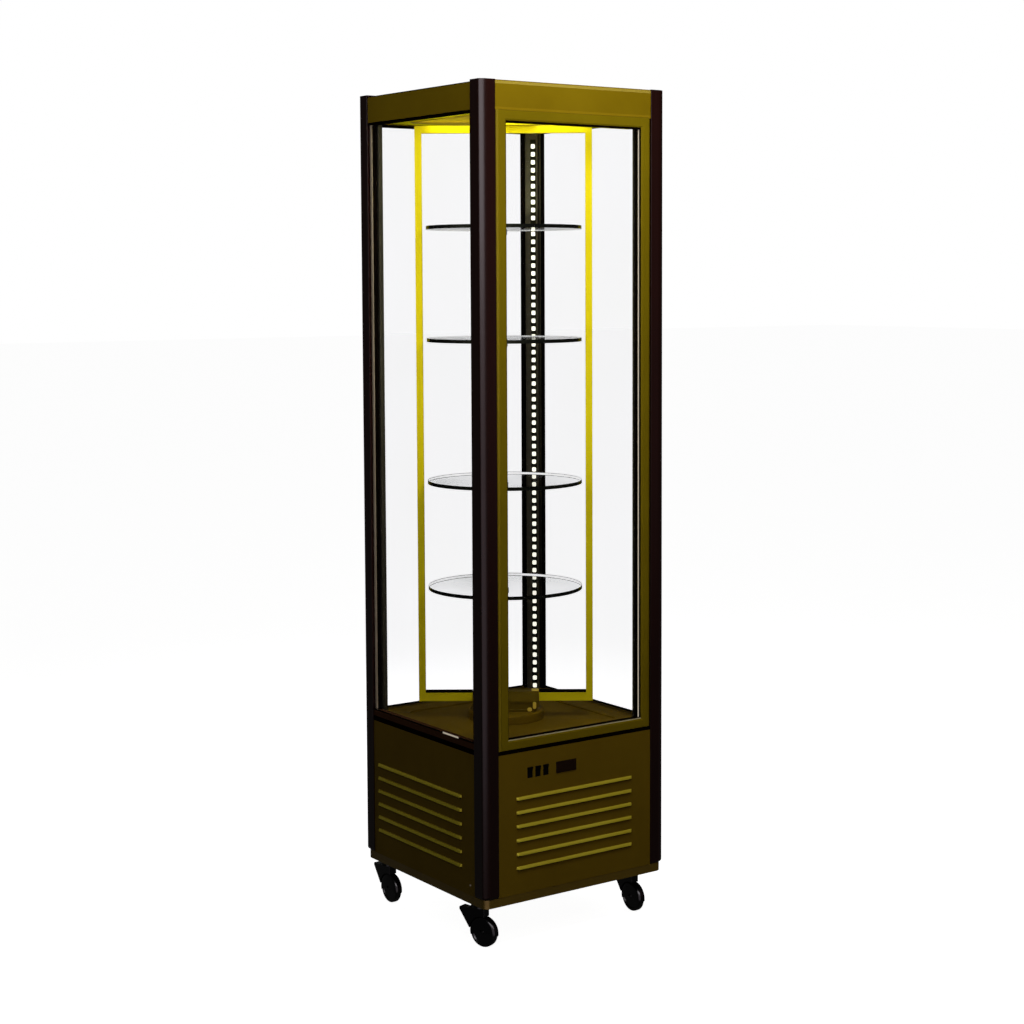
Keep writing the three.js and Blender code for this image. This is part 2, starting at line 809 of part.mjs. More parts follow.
function door() {
  const windowX = bayX - doorGap - stileWidth;
  const front = -halfDepth;
  const back = front + doorThickness;
  const window = block(-windowX, windowX, front - overrun, back + overrun, windowBottom, windowTop);
  const paneX = windowX + glassRebate;
  const paneFront = front + (doorThickness - doorGlassThickness) / 2;
  const paneBack = paneFront + doorGlassThickness;
  const paneLow = windowBottom - glassRebate;
  const paneHigh = windowTop + glassRebate;
  const groove = block(-paneX, paneX, paneFront, paneBack, paneLow, paneHigh);
  const socket = pivotRadius + pivotClearance;
  const depth = pivotLength + runGap;
  const sockets = [
    drum(socket, doorBottom - overrun, doorBottom + depth, pivotX, pivotY, smallSides),
    drum(socket, doorTop - depth, doorTop + overrun, pivotX, pivotY, smallSides),
  ];
  const slab = solid(upright(doorShape(), doorBottom, doorTop, doorSegments));
  const frame = cut(slab, window, groove, ...sockets);
  cabinet.add(mesh('door_frame', geometryOf(frame), bronze));
  const pane = glazedUnit(
    -paneX + fitGap,
    paneX - fitGap,
    paneFront + fitGap,
    paneBack - fitGap,
    paneLow + fitGap,
    paneHigh - fitGap,
  );
  cabinet.add(mesh('door_glass', pane, glass));
  const outX = windowX + gasketWidth + gasketInset;
  const outLow = windowBottom - gasketWidth - gasketInset / 2;
  const outHigh = windowTop + gasketWidth + gasketInset;
  const start = back + fitGap;
  const ring = solid(block(-outX, outX, start, -gasketBack, outLow, outHigh));
  const inX = outX - gasketWidth;
  const opening = block(
    -inX,
    inX,
    start - overrun,
    overrun - gasketBack,
    outLow + gasketWidth,
    outHigh - gasketWidth,
  );
  cabinet.add(mesh('door_gasket', geometryOf(cut(ring, opening)), rubber));
}

// Door hinges: plates over and under the door, each with a pivot pin
function hinges() {
  const right = bayX - fitGap;
  const left = right - hingePlateWidth;
  const front = pivotY - pivotRadius;
  const back = -landingFace - fitGap;
  const pin = (z0, z1) => drum(pivotRadius, z0, z1, pivotX, pivotY, smallSides);
  const low = doorBottom - runGap;
  const lowPlate = block(left, right, front, back, low - hingePlateThickness, low);
  const lowPin = pin(low - hingePlateThickness / 2, doorBottom + pivotLength);
  cabinet.add(mesh('hinge_bottom', geometryOf(join(lowPlate, lowPin)), steel));
  const high = doorTop + doorTopGap + fitGap;
  const highPlate = block(left, right, front, back, high, high + hingePlateThickness);
  const highPin = pin(doorTop - pivotLength, high + hingePlateThickness / 2);
  cabinet.add(mesh('hinge_top', geometryOf(join(highPlate, highPin)), steel));
}

// Carousel: shaft with shelf collars, hubs, the gilt carrier frame and four round glass shelves
const displaySpan = ceilingBottom - deckTop;
const pedestalBottom = deckFloor + fitGap;
const pedestalTop = pedestalBottom + pedestalHeight;
const hubBottom = pedestalTop + fitGap;
const hubTop = hubBottom + hubHeight;
const carrierBottom = deckTop + carrierLowRise;
const topHubBottom = ceilingBottom - topHubDrop;
const topHubTop = topHubBottom + topHubHeight;
const carrierTop = topHubBottom - fitGap;
const gearMotorTop = deckTop - deckThickness - fitGap;

function onCarousel(name, geometry, material) {
  const item = mesh(name, geometry, material);
  item.position.set(carouselX, carouselY, 0);
  item.rotation.z = carouselTurn;
  cabinet.add(item);
}

function carouselShaft() {
  const bottom = gearMotorTop - gearMotorSocket + fitGap;
  const top = ceilingBottom - fitGap * 2;
  const profile = [[0, bottom], [shaftRadius, bottom]];
  for (const share of shelfShares) {
    const under = deckTop + share * displaySpan - shelfThickness - fitGap;
    profile.push([shaftRadius, under - shaftCollarHeight], [shaftCollarRadius, under - shaftCollarHeight]);
    profile.push([shaftCollarRadius, under], [shaftRadius, under]);
  }
  profile.push([shaftRadius, top], [0, top]);
  onCarousel('carousel_shaft', lathe(profile, smallSides), steel);
}

function carrierFrame() {
  const depth = carrierDepth / 2;
  const inX = carrierHalfWidth - carrierUpright;
  const ring = block(-carrierHalfWidth, carrierHalfWidth, -depth, depth, carrierBottom, carrierTop);
  const low = carrierBottom + carrierLowBar;
  const high = carrierTop - carrierTopBar;
  const opening = block(-inX, inX, -depth - overrun, depth + overrun, low, high);
  const bore = drum(shaftRadius + fitGap, carrierBottom - overrun, carrierTop + overrun);
  onCarousel('carrier_frame', geometryOf(cut(solid(ring), opening, bore)), gold);
}

function carouselHubs() {
  const half = hubWidth / 2;
  const depth = hubDepth / 2;
  const face = outline([
    [-half + hubChamfer, hubBottom],
    [half - hubChamfer, hubBottom],
    [half, hubBottom + hubChamfer],
    [half, hubTop],
    [-half, hubTop],
    [-half, hubBottom + hubChamfer],
  ]);
  const shoulder = hubBottom + hubShoulderHeight;
  const ridge = hubRidge / 2;
  const sloped = outline([
    [-depth, hubBottom],
    [depth, hubBottom],
    [depth, shoulder],
    [ridge, hubTop],
    [-ridge, hubTop],
    [-depth, shoulder],
  ]);
  const tunnel = block(
    -half - overrun,
    half + overrun,
    -carrierDepth / 2 - fitGap,
    carrierDepth / 2 + fitGap,
    carrierBottom - fitGap,
    carrierBottom + carrierLowBar + fitGap,
  );
  const bore = drum(shaftRadius + fitGap, hubBottom - overrun, hubTop + overrun);
  const panelX = half - hubPanelInset;
  const panelLow = hubBottom + hubPanelInset / 2;
  const panelHigh = shoulder - hubPanelInset / 2;
  const panels = [-1, 1].map((side) => block(
    -panelX,
    panelX,
    side > 0 ? depth - hubPanelRecess : -depth - overrun,
    side > 0 ? depth + overrun : -depth + hubPanelRecess,
    panelLow,
    panelHigh,
  ));
  const core = solid(alongY(face, -depth, depth)).intersect(solid(alongX(sloped, -half, half)));
  const body = cut(core, tunnel, bore, ...panels);
  onCarousel('carousel_hub_lower', geometryOf(body), gold);
  const topX = topHubWidth / 2;
  const topY = topHubDepth / 2;
  const plate = solid(block(-topX, topX, -topY, topY, topHubBottom, topHubTop));
  const hole = drum(shaftRadius + fitGap, topHubBottom - overrun, topHubTop + overrun);
  onCarousel('carousel_hub_upper', geometryOf(cut(plate, hole)), gold);
}

function shelves() {
  shelfShares.forEach((share, index) => {
    const top = deckTop + share * displaySpan;
    const bottom = top - shelfThickness;
    const hole = shaftRadius + fitGap;
    const profile = [
      [hole, bottom],
      [shelfRadius, bottom],
      [shelfRadius, top],
      [hole, top],
      [hole, bottom],
    ];
    onCarousel(`shelf_${index + 1}`, lathe(profile, fineSides), glass);
  });
}

// Pedestal that carries the carousel on the deck, and the bearing under the ceiling
function bearings() {
  const bore = shaftRadius + fitGap;
  const low = [
    [bore, pedestalBottom],
    [pedestalRadius, pedestalBottom],
    [pedestalRadius, pedestalTop - pedestalEdge],
    [pedestalRadius - pedestalEdge, pedestalTop],
    [bore, pedestalTop],
    [bore, pedestalBottom],
  ];
  onCarousel('drive_pedestal', lathe(low, fineSides), darkBronze);
  const top = ceilingBottom - fitGap;
  const bottom = topHubTop + fitGap;
  const high = [
    [bore, bottom],
    [topBearingRadius, bottom],
    [topBearingRadius, top],
    [bore, top],
    [bore, bottom],
  ];
  onCarousel('top_bearing', lathe(high), steel);
}

// Gear motor under the deck, with a socket for the shaft
function gearMotor() {
  const halfX = gearMotorWidth / 2;
  const halfY = gearMotorDepth / 2;
  const bottom = gearMotorTop - gearMotorHeight;
  const canTop = (bottom + gearMotorTop) / 2;
  const body = join(
    block(-halfX, halfX, -halfY, halfY, bottom, gearMotorTop),
    drum(gearMotorCanRadius, bottom - gearMotorCanHeight, canTop, halfX - gearMotorCanRadius),
  );
  const socket = drum(shaftRadius + fitGap, gearMotorTop - gearMotorSocket, gearMotorTop + overrun);
  onCarousel('gear_motor', geometryOf(cut(body, socket)), steel);
}

// Compressor: a domed can on a foot plate
function compressor() {
  const base = trayFloor + fitGap;
  const shoulder = base + compressorHeight - compressorDome;
  const profile = [
    [0, base],
    [compressorRadius, base],
    [compressorRadius, base + compressorFoot],
    [compressorRadius - compressorFoot, base + compressorFoot],
    [compressorRadius - compressorFoot, shoulder],
  ];
  const domeRadius = compressorRadius - compressorFoot;
  for (let step = 1; step < domeSteps; step += 1) {
    const angle = (Math.PI / 2) * (step / domeSteps);
    profile.push([domeRadius * Math.cos(angle), shoulder + compressorDome * Math.sin(angle)]);
  }
  profile.push([0, base + compressorHeight]);
  const can = mesh('compressor', lathe(profile), black);
  can.position.set(compressorInset - halfWidth, compressorY, 0);
  cabinet.add(can);
}

// A heat exchanger block with fins along its length, drawn with its fins facing -Y
function finBlock(width, depth, height, bottom) {
  const count = Math.floor(width / finPitch) - 1;
  const start = -(count * finPitch - finPitch + finWidth) / 2;
  const points = [[-width / 2, depth / 2], [-width / 2, -depth / 2 + finDepth]];
  for (let index = 0; index < count; index += 1) {
    const x = start + index * finPitch;
    points.push([x, -depth / 2 + finDepth], [x, -depth / 2]);
    points.push([x + finWidth, -depth / 2], [x + finWidth, -depth / 2 + finDepth]);
  }
  points.push([width / 2, -depth / 2 + finDepth], [width / 2, depth / 2]);
  return upright(outline(points), bottom, bottom + height);
}

function heatExchangers() {
  const bottom = trayFloor + fitGap;
  const hotBlock = finBlock(condenserWidth, condenserThickness, condenserHeight, bottom);
  const hot = mesh('condenser', hotBlock, finMetal);
  hot.rotation.z = Math.PI / 2;
  hot.position.set(condenserX, 0, 0);
  const under = deckTop - deckThickness - fitGap - evaporatorHeight;
  const coldBlock = finBlock(evaporatorWidth, evaporatorDepth, evaporatorHeight, under);
  const cold = mesh('evaporator', coldBlock, finMetal);
  cold.position.set(0, halfDepth - evaporatorRearSpace - evaporatorDepth / 2, 0);
  cabinet.add(hot, cold);
}

// Condenser fan: a motor on a foot, and a bladed rotor on its shaft, both along X
function condenserFan() {
  const axis = trayFloor + condenserHeight / 2;
  const face = condenserX - condenserThickness / 2 - fanSpace;
  const rotorBack = face - fanDepth;
  const motorFront = rotorBack - fanSpace;
  const motor = crossPin(fanMotorRadius, fanMotorLength, roundSides);
  const stub = crossPin(fanShaftRadius, fanSpace + fanDepth);
  const stubMiddle = motorFront + (fanSpace + fanDepth) / 2 - fitGap;
  const foot = block(
    motorFront - fanMotorLength,
    motorFront,
    -motorFootWidth / 2,
    motorFootWidth / 2,
    trayFloor + fitGap,
    axis - fanMotorRadius / 2,
  );
  const body = join(
    foot,
    motor.translate(motorFront - fanMotorLength / 2, 0, axis),
    stub.translate(stubMiddle, 0, axis),
  );
  cabinet.add(mesh('fan_motor', geometryOf(body), black));
  const hub = drum(fanHubRadius, -fanDepth / 2, fanDepth / 2);
  const blades = [];
  for (let index = 0; index < fanBladeCount; index += 1) {
    const length = fanRadius - fanHubRadius / 2;
    const blade = new THREE.BoxGeometry(length, fanDepth * fanBladeShare, fanBladeThickness);
    blade.rotateX(fanBladeAngle);
    blade.translate(fanHubRadius / 2 + length / 2, 0, 0);
    blades.push(blade.rotateZ(index * 2 * Math.PI / fanBladeCount));
  }
  const bore = drum(fanShaftRadius + fitGap, -fanDepth, fanDepth, 0, 0, smallSides);
  const rotor = mesh('condenser_fan', geometryOf(cut(join(hub, ...blades), bore)), black);
  rotor.rotation.y = Math.PI / 2;
  rotor.position.set(face - fanDepth / 2, 0, axis);
  cabinet.add(rotor);
}

// Casters, drawn with the stem on the local Z axis and the wheel trailing towards +X
function forkShape() {
  const outer = wheelRadius + hoodGap + hoodWall;
  const shape = new THREE.Shape();
  const lowAngle = Math.asin((hoodSkirtRise - wheelRadius) / outer);
  const topAngle = Math.acos((neckRadius - casterTrail) / outer);
  shape.absarc(casterTrail, wheelRadius, outer, lowAngle, topAngle, false);
  shape.lineTo(neckRadius, leverTop);
  shape.lineTo(-leverReach, leverTop);
  shape.lineTo(-leverReach, leverLow);
  shape.absarc(casterTrail, wheelRadius, outer, hoodLeadAngle, Math.PI - lowAngle, false);
  return shape;
}

function casterFork(corner) {
  const inner = wheelWidth / 2 + sideGap;
  const outer = inner + sideWall;
  const neckTop = casterHeight - fitGap - swivelHeight;
  const wellRadius = wheelRadius + hoodGap;
  const well = new THREE.CylinderGeometry(wellRadius, wellRadius, inner * 2, roundSides);
  const axle = new THREE.CylinderGeometry(axleRadius, axleRadius, inner * 2 + sideWall, smallSides);
  const hood = solid(alongY(forkShape(), -outer, outer, arcSegments));
  const hollow = cut(hood, well.translate(casterTrail, 0, wheelRadius));
  const rim = [
    axle.translate(casterTrail, 0, wheelRadius),
    drum(neckRadius, leverLow, neckTop),
    drum(swivelRadius, (leverTop + neckTop) / 2, neckTop + swivelHeight),
    drum(stemRadius, neckTop, casterHeight + stemHeight, 0, 0, smallSides),
  ];
  const body = rim.reduce((sum, part) => sum.add(solid(part)), hollow);
  const fork = mesh(`caster_fork_${corner.name}`, geometryOf(body), black);
  const [x, y] = casterPlace(corner);
  fork.position.set(x, y, 0);
  fork.rotation.z = corner.heading;
  cabinet.add(fork);
}

function casterWheel(corner) {
  const half = wheelWidth / 2;
  const bore = axleRadius + fitGap;
  const face = half - wheelHubRecess;
  const shoulder = wheelRadius - wheelShoulder;
  const profile = [
    [bore, -face],
    [shoulder - wheelHubRecess, -face],
    [shoulder - wheelHubRecess, -half],
    [wheelRadius, wheelShoulder - half],
    [wheelRadius, half - wheelShoulder],
    [shoulder - wheelHubRecess, half],
    [shoulder - wheelHubRecess, face],
    [bore, face],
    [bore, -face],
  ];
  const tyre = lathe(profile, wheelSides).rotateX(Math.PI / 2);
  const wheel = mesh(`caster_wheel_${corner.name}`, tyre, rubber);
  const [x, y] = casterPlace(corner);
  wheel.position.set(
    x + casterTrail * Math.cos(corner.heading),
    y + casterTrail * Math.sin(corner.heading),
    wheelRadius,
  );
  wheel.rotation.z = corner.heading;
  cabinet.add(wheel);
}

baseTray();
corners.forEach(cornerPost);
roofCap();
frontFascia();
ceiling();
deck();
glazing();
corners.forEach(cornerProfile);
corners.filter((corner) => corner.x === corner.y).forEach(ledStrip);
machinePanels();
switches();
controller();
door();
hinges();
carouselShaft();
carrierFrame();
carouselHubs();
shelves();
bearings();
gearMotor();
compressor();
heatExchangers();
condenserFan();
corners.forEach(casterFork);
corners.forEach(casterWheel);

export default cabinet;
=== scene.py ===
import math

import bmesh
import bpy
from mathutils import Matrix, Vector
from mathutils.geometry import tessellate_polygon


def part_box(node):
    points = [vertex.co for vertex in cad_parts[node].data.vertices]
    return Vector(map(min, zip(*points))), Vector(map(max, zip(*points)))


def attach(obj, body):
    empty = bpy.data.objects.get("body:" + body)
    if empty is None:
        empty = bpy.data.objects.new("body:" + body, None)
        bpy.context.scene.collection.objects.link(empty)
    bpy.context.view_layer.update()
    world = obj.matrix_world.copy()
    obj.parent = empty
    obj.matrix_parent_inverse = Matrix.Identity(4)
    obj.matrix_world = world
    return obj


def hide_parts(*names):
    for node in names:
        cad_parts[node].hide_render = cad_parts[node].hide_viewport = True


# Revolving glass display cabinet: the finish of its pieces, in metres, with the door towards -Y.
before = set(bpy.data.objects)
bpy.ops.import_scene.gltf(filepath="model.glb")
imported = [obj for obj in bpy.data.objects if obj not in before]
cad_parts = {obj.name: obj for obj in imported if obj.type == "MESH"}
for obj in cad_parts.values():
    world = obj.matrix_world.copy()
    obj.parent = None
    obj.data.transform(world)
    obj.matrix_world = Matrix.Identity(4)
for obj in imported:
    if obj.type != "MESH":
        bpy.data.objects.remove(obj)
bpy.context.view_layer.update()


def low_of(node):
    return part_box(node)[0]


def high_of(node):
    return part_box(node)[1]


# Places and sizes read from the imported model
POST_LOW, POST_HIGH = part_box("corner_post_front_right")
CABINET_HALF = POST_HIGH.x
CABINET_TOP = POST_HIGH.z
POST_BOTTOM = POST_LOW.z
POST_LEG = POST_HIGH.x - POST_LOW.x
FACE = high_of("roof_cap").x
BAY = high_of("front_fascia").x
DECK_TOP = low_of("corner_profile_rear_left").z
CEILING = low_of("ceiling_lamp").z
SHAFT_LOW, SHAFT_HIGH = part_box("carousel_shaft")
AXIS_X = (SHAFT_LOW.x + SHAFT_HIGH.x) / 2
AXIS_Y = (SHAFT_LOW.y + SHAFT_HIGH.y) / 2
WHEEL_RADIUS = high_of("caster_wheel_front_left").z / 2

GLAZED_SIDES = ("left", "right", "rear")
CORNERS = (
    ("front_left", -1, -1),
    ("front_right", 1, -1),
    ("rear_left", -1, 1),
    ("rear_right", 1, 1),
)

# Camera, worked out from the photograph's vanishing lines
CAMERA_PLACE = Vector((-2.4976, -3.5706, 1.4377))
CAMERA_AZIMUTH = math.radians(35.49)
CAMERA_PITCH = math.radians(4.53)
CAMERA_ROLL = math.radians(-0.227)
FOCAL_PIXELS = 1937.95
CENTRE_PIXELS = (528.41, 432.88)
IMAGE_PIXELS = 1024
SENSOR_MM = 36

# Gaps that keep neighbouring surfaces apart
HAIRLINE = 0.00005
GAP = 0.0001
CLEARANCE = 0.0003

# Distances below which points are joined, and the angle below which faces are
TURNED_MERGE = 1e-7
SOLID_MERGE = 1e-6
FLAT_ANGLE = math.radians(1)

# Corner posts
POST_DEPTH = 0.024
POST_ROUND_X = 0.020
POST_ROUND_Y = 0.010
POST_EDGE = 0.0012
POST_FLAT = 0.0004
POST_STEPS = 18
POST_FOOT_RADIUS = 0.006
POST_FOOT_STEPS = 4

# Glazing
SHEET = 0.004
SPACER_WIDTH = 0.0065
SEALANT_WIDTH = 0.0025
HEAD_BAND = 0.0038
HEAD_REACH = 0.0055
PANE_FACE = 0.0025
# Where the glowing block that paints the highlight on the left sill runs along the pane's foot
SILL_GLINT_SPAN = (0.085, 0.146)
FOOT_BAND = 0.0032
# Height of the glowing block that paints the highlight on the left sill
SILL_GLINT_HEIGHT = 0.0035
BAND_THICKNESS = 0.0005
LINING = 0.0008
SILL_RISE = 0.0004

# Front fascia
FASCIA_SKIN = 0.0025
FASCIA_LIP_INSET = 0.0002
FASCIA_LIP = 0.0017
FASCIA_EDGE = 0.0022
FASCIA_RISE = 0.0034
# Painted highlight bands on the front fascia: their heights at its top and foot, and their front and back
FASCIA_BAND = 0.0078
FASCIA_FOOT = 0.0045
LINE_FRONT = 0.0002
LINE_BACK = 0.00001
# Height of the dark strip that paints a shadow line along the top of the left fascia
ROOF_SHADOW_LINE = 0.0016

# Door frame
DOOR_OUTER_RADIUS = 0.007
RAIL_SHARE = 1 / 4
DOOR_STEPS = 8
DOOR_BEAD_WIDTH = 0.005
DOOR_BEAD_HEIGHT = 0.0032
DOOR_BEAD_DEPTH = 0.0018
DOOR_REBATE = 0.006
HEAD_REBATE = 0.0028
DOOR_FLAT = 0.0003
BACK_LIP = 0.0041
SPACER_FACE = 0.0006

# Seal round the door's window with a painted highlight along its foot, and trims over the machine panels
SEAL_LEFT = 0.0012
SEAL_RIGHT = 0.0038
SEAL_FOOT = 0.0036
SEAL_HEAD = 0.0048
SEAL_DEPTH = 0.0016
FOOT_HIGHLIGHT = 0.002
FOOT_HIGHLIGHT_DEPTH = 0.0009
SEAM_LOW = 0.0022
SEAM_HIGH = 0.0050
SEAM_LEFT = 0.0088
SEAM_FRONT = 0.0006
SEAM_BACK = 0.012

# Louvres, and where they start and end on the front panel and on the right one
LOUVRE_COUNT = 6
LOUVRE_PITCH = 0.0303
LOUVRE_RISE = 0.054
LOUVRE_HOOD = 0.0062
LOUVRE_DEPTH = 0.0045
LOUVRE_WALL = 0.0012
LOUVRE_NOSE = 0.0012
LOUVRE_ROOT = 0.0004
LOUVRE_MOUTH = 0.0034
LOUVRE_END = 0.005
LOUVRE_LEAST_SWELL = 0.1
LOUVRE_STEPS = 4
LOUVRE_END_STEPS = 5
FRONT_LOUVRES = (-0.160, 0.1534)
RIGHT_LOUVRES = (-0.1563, 0.1875)

# Machine panels
PANEL_THICKNESS = 0.0025
PANEL_RADIUS = 0.001
MOUTH_HEAD = 0.0018
MOUTH_RADIUS = 0.0012
HOLE_RADIUS = 0.0008
DISPLAY_INSET = 0.0025
# Black sheet behind the louvre mouths that paints the shade inside the compartment: its margin and
# thickness
SHADE_SHEET_MARGIN = 0.01
SHADE_SHEET_THICKNESS = 0.001
SCREW_PLACE = 0.188
SCREW_RISE = 0.0215
SCREW_RADIUS = 0.0032
SCREW_SEAT = 0.0002

# Light strips
LED_PITCH = 0.01881
LED_HEIGHT = 0.0101
LED_HALF = 0.0046
LED_RADIUS = 0.0022
LED_COUNT = 70
LED_FOOT = 0.0034
LED_RISE = 0.0012
STRIP_HALF = 0.0065
STRIP_BASE = 0.0008

# Carousel
CARRIER_TURN = math.radians(-35.5)
CARRIER_HALF = 0.1973
CARRIER_UPRIGHT = 0.015
CARRIER_LOW_BAR = 0.019
BAR_PAD = 0.0042
BAR_PAD_HALF = 0.0085
HUB_HALF = 0.075
HUB_FRONT = -0.043
COLLAR_RADIUS = 0.0074
COLLAR_HEIGHT = 0.012
SHELF_HOLE = 0.0063
SHELF_STEPS = 96
RIM_BAND = 0.0004
RIM_EDGE = 0.0003
RIM_LINE = 0.0011

# Painted highlights at the hub's right end, as small bright brass pieces: two corners, from the hub's right
# end and its axis or foot, and a corner radius
GLINT_DEPTH = 0.0024
TOP_GLINT_RISE = 0.0026
TOP_GLINT = ((-0.017, -0.012), (-0.0005, 0.008), 0.003)
UPPER_GLINT = ((-0.0145, 0.0065), (-0.0065, 0.0225), 0.0035)
LOWER_GLINT = ((-0.0265, 0.0004), (-0.0165, 0.0095), 0.0038)

# Caster wheels, with their headings in degrees
WHEEL_HALF = 0.0075
WHEEL_BORE = 0.0043
WHEEL_DISH = 0.002
TYRE_BAND = 0.008
TYRE_SHOULDER = 0.0035
HEADINGS = {"front_left": -71, "rear_left": -89, "front_right": -90, "rear_right": -80}

# Caster forks, with the lever's outline measured from the top of its tip and from its root on the neck
CASTER_EDGE = 0.0012
CASTER_TRAIL = 0.011
HOOD_GAP = 0.0008
HOOD_WALL = 0.0016
HOOD_LAP = 0.002
HOOD_SIDE_GAP = 0.0006
HOOD_SHOULDER = 0.0075
HOOD_LEGS = 0.006
HOOD_ARC = (-8, 196)
HOOD_STEPS = 30
FORK_HALF = 0.0099
NECK_RADIUS = 0.0175
NECK_LAP = 0.0005
NECK_INSET = 0.0004
NECK_BACK = 172
NECK_STEPS = 14
NECK_DISC = 0.01
LEVER_REACH = 0.050
LEVER_TOP = 0.081
LEVER_THICKNESS = 0.006
LEVER_TIP = ((0, -LEVER_THICKNESS), (0.0008, -0.0008), (0.004, 0), (0.016, -0.001))
LEVER_ROOT = ((-0.006, 0.0015), (0, 0.008))
NECK_TOP = LEVER_TOP + 0.014
SWIVEL_RADIUS = 0.014
SWIVEL_CONE = 0.004
SWIVEL_DROP = 0.0155
STEM_LENGTH = 0.016
STEM_RADIUS = 0.0055
AXLE_RADIUS = 0.004
AXLE_HALF = 0.0086

# Noise in the finishes, and the stretch of it over which one tone turns into the other
NOISE_ROUGHNESS = 0.6
TONE_START = 0.3
TONE_END = 0.7

# Studio: how bright the white surroundings are for a matt surface and for a gloss
AMBIENT = 0.03
GLOSS_SHARE = 0.02
FLOOR_GLOW = 0.955
FLOOR_REACH = 40
FLOOR_DARK = (0.78, 0.78, 0.78, 1)
FLOOR_LIGHT = (0.82, 0.82, 0.82, 1)
FLOOR_DIM = (0.2, 0.2, 0.2, 1)

UPRIGHT = Matrix.Identity(4)
SQUARE = ((-1, -1), (1, -1), (1, 1), (-1, 1))


def axes(u, v, w, origin=(0, 0, 0)):
    """A matrix that sends the drawing's u, v and w to the given directions, from the given origin."""
    turn = Matrix((u, v, w)).transposed().to_4x4()
    return Matrix.Translation(origin) @ turn


ALONG_X = axes((0, 1, 0), (0, 0, 1), (1, 0, 0))
ALONG_Y = axes((0, 0, 1), (1, 0, 0), (0, 1, 0))
CAROUSEL = Matrix.Translation((AXIS_X, AXIS_Y, 0))
CARRIER = CAROUSEL @ Matrix.Rotation(CARRIER_TURN, 4, "Z")


def elevation(depth=0):
    """Drawing plane seen from the front: u runs right, v up and w towards the rear, from the given Y."""
    return axes((1, 0, 0), (0, 0, 1), (0, 1, 0), (0, depth, 0))


def facing(side, reach):
    """Drawing plane of one side: u runs right as seen from outside, v up and w inwards from the face."""
    turn = {"front": 0, "right": 90, "rear": 180, "left": -90}[side]
    return Matrix.Rotation(math.radians(turn), 4, "Z") @ elevation(-reach)


def arc(centre, radius, start, end, steps):
    """Points on a round stretch of an outline, angles in degrees."""
    points = []
    for step in range(steps + 1):
        angle = math.radians(start + (end - start) * step / steps)
        points.append((centre[0] + radius * math.cos(angle), centre[1] + radius * math.sin(angle)))
    return points


def rounded_rectangle(low, high, radius, steps):
    (x0, y0), (x1, y1) = low, high
    return (
        arc((x1 - radius, y0 + radius), radius, -90, 0, steps)
        + arc((x1 - radius, y1 - radius), radius, 0, 90, steps)
        + arc((x0 + radius, y1 - radius), radius, 90, 180, steps)
        + arc((x0 + radius, y0 + radius), radius, 180, 270, steps)
    )


class Form:
    """A mesh in the making, drawn from prisms, rings and turned profiles."""

    def __init__(self):
        self.mesh = bmesh.new()

    def _faces(self, corner_lists, material):
        for corners in corner_lists:
            if len(set(corners)) > 2:
                face = self.mesh.faces.new(corners)
                face.material_index = material

    def _verts(self, points, place):
        return [self.mesh.verts.new(place @ Vector(point)) for point in points]

    def _walls(self, first, second, material):
        """Faces between two closed rings of points."""
        corners = zip(first, first[1:] + first[:1], second[1:] + second[:1], second)
        self._faces(corners, material)

    def prism(self, outline, start, end, place=UPRIGHT, material=0):
        low = self._verts([(u, v, start) for u, v in outline], place)
        high = self._verts([(u, v, end) for u, v in outline], place)
        self._faces([low[::-1], high], material)
        self._walls(low, high, material)
        return self

    def box(self, low, high, place=UPRIGHT, material=0):
        outline = [(low[0], low[1]), (high[0], low[1]), (high[0], high[1]), (low[0], high[1])]
        return self.prism(outline, low[2], high[2], place, material)

    def loft(self, sections, place=UPRIGHT, material=0):
        """Closed sections joined in turn, with both ends capped."""
        rings = [self._verts(section, place) for section in sections]
        for first, second in zip(rings, rings[1:]):
            self._walls(first, second, material)
        self._faces([rings[0][::-1], rings[-1]], material)
        return self

    def lathe(self, profile, steps, place=UPRIGHT, material=0):
        """A closed profile of radius and height turned round the w axis."""
        rings = []
        for step in range(steps):
            angle = 2 * math.pi * step / steps
            ring = [(r * math.cos(angle), r * math.sin(angle), z) for r, z in profile]
            rings.append(self._verts(ring, place))
        for first, second in zip(rings, rings[1:] + rings[:1]):
            self._walls(second, first, material)
        bmesh.ops.remove_doubles(self.mesh, verts=self.mesh.verts, dist=TURNED_MERGE)
        return self

    def mitred_ring(self, window, profile, place=UPRIGHT, material=0):
        """A frame round a window. The profile gives, for each point, its depth and how far it lies
        outside the window at the sides, at the foot and at the head."""
        (u0, v0), (u1, v1) = window
        corners = []
        for side_u, side_v in SQUARE:
            points = []
            for depth, side, foot, head in profile:
                u = (u1 + side) if side_u > 0 else (u0 - side)
                v = (v1 + head) if side_v > 0 else (v0 - foot)
                points.append((u, v, depth))
            corners.append(self._verts(points, place))
        for first, second in zip(corners, corners[1:] + corners[:1]):
            self._walls(second, first, material)
        return self

    def pierced_plate(self, outline, holes, start, end, place=UPRIGHT, material=0):
        """A flat plate with holes through it."""
        loops = [outline, *holes]
        points = [point for loop in loops for point in loop]
        triangles = tessellate_polygon([[Vector((u, v, 0)) for u, v in loop] for loop in loops])
        low = self._verts([(u, v, start) for u, v in points], place)
        high = self._verts([(u, v, end) for u, v in points], place)
        for triangle in triangles:
            self._faces([[low[i] for i in triangle], [high[i] for i in triangle[::-1]]], material)
        offset = 0
        for loop in loops:
            stretch = slice(offset, offset + len(loop))
            self._walls(low[stretch], high[stretch], material)
            offset += len(loop)
        return self

    def finished_mesh(self, name):
        data = bpy.data.meshes.new(name)
        self.mesh.to_mesh(data)
        self.mesh.free()
        return data


def add_object(name, data):
    item = bpy.data.objects.new(name, data)
    bpy.context.scene.collection.objects.link(item)
    return item


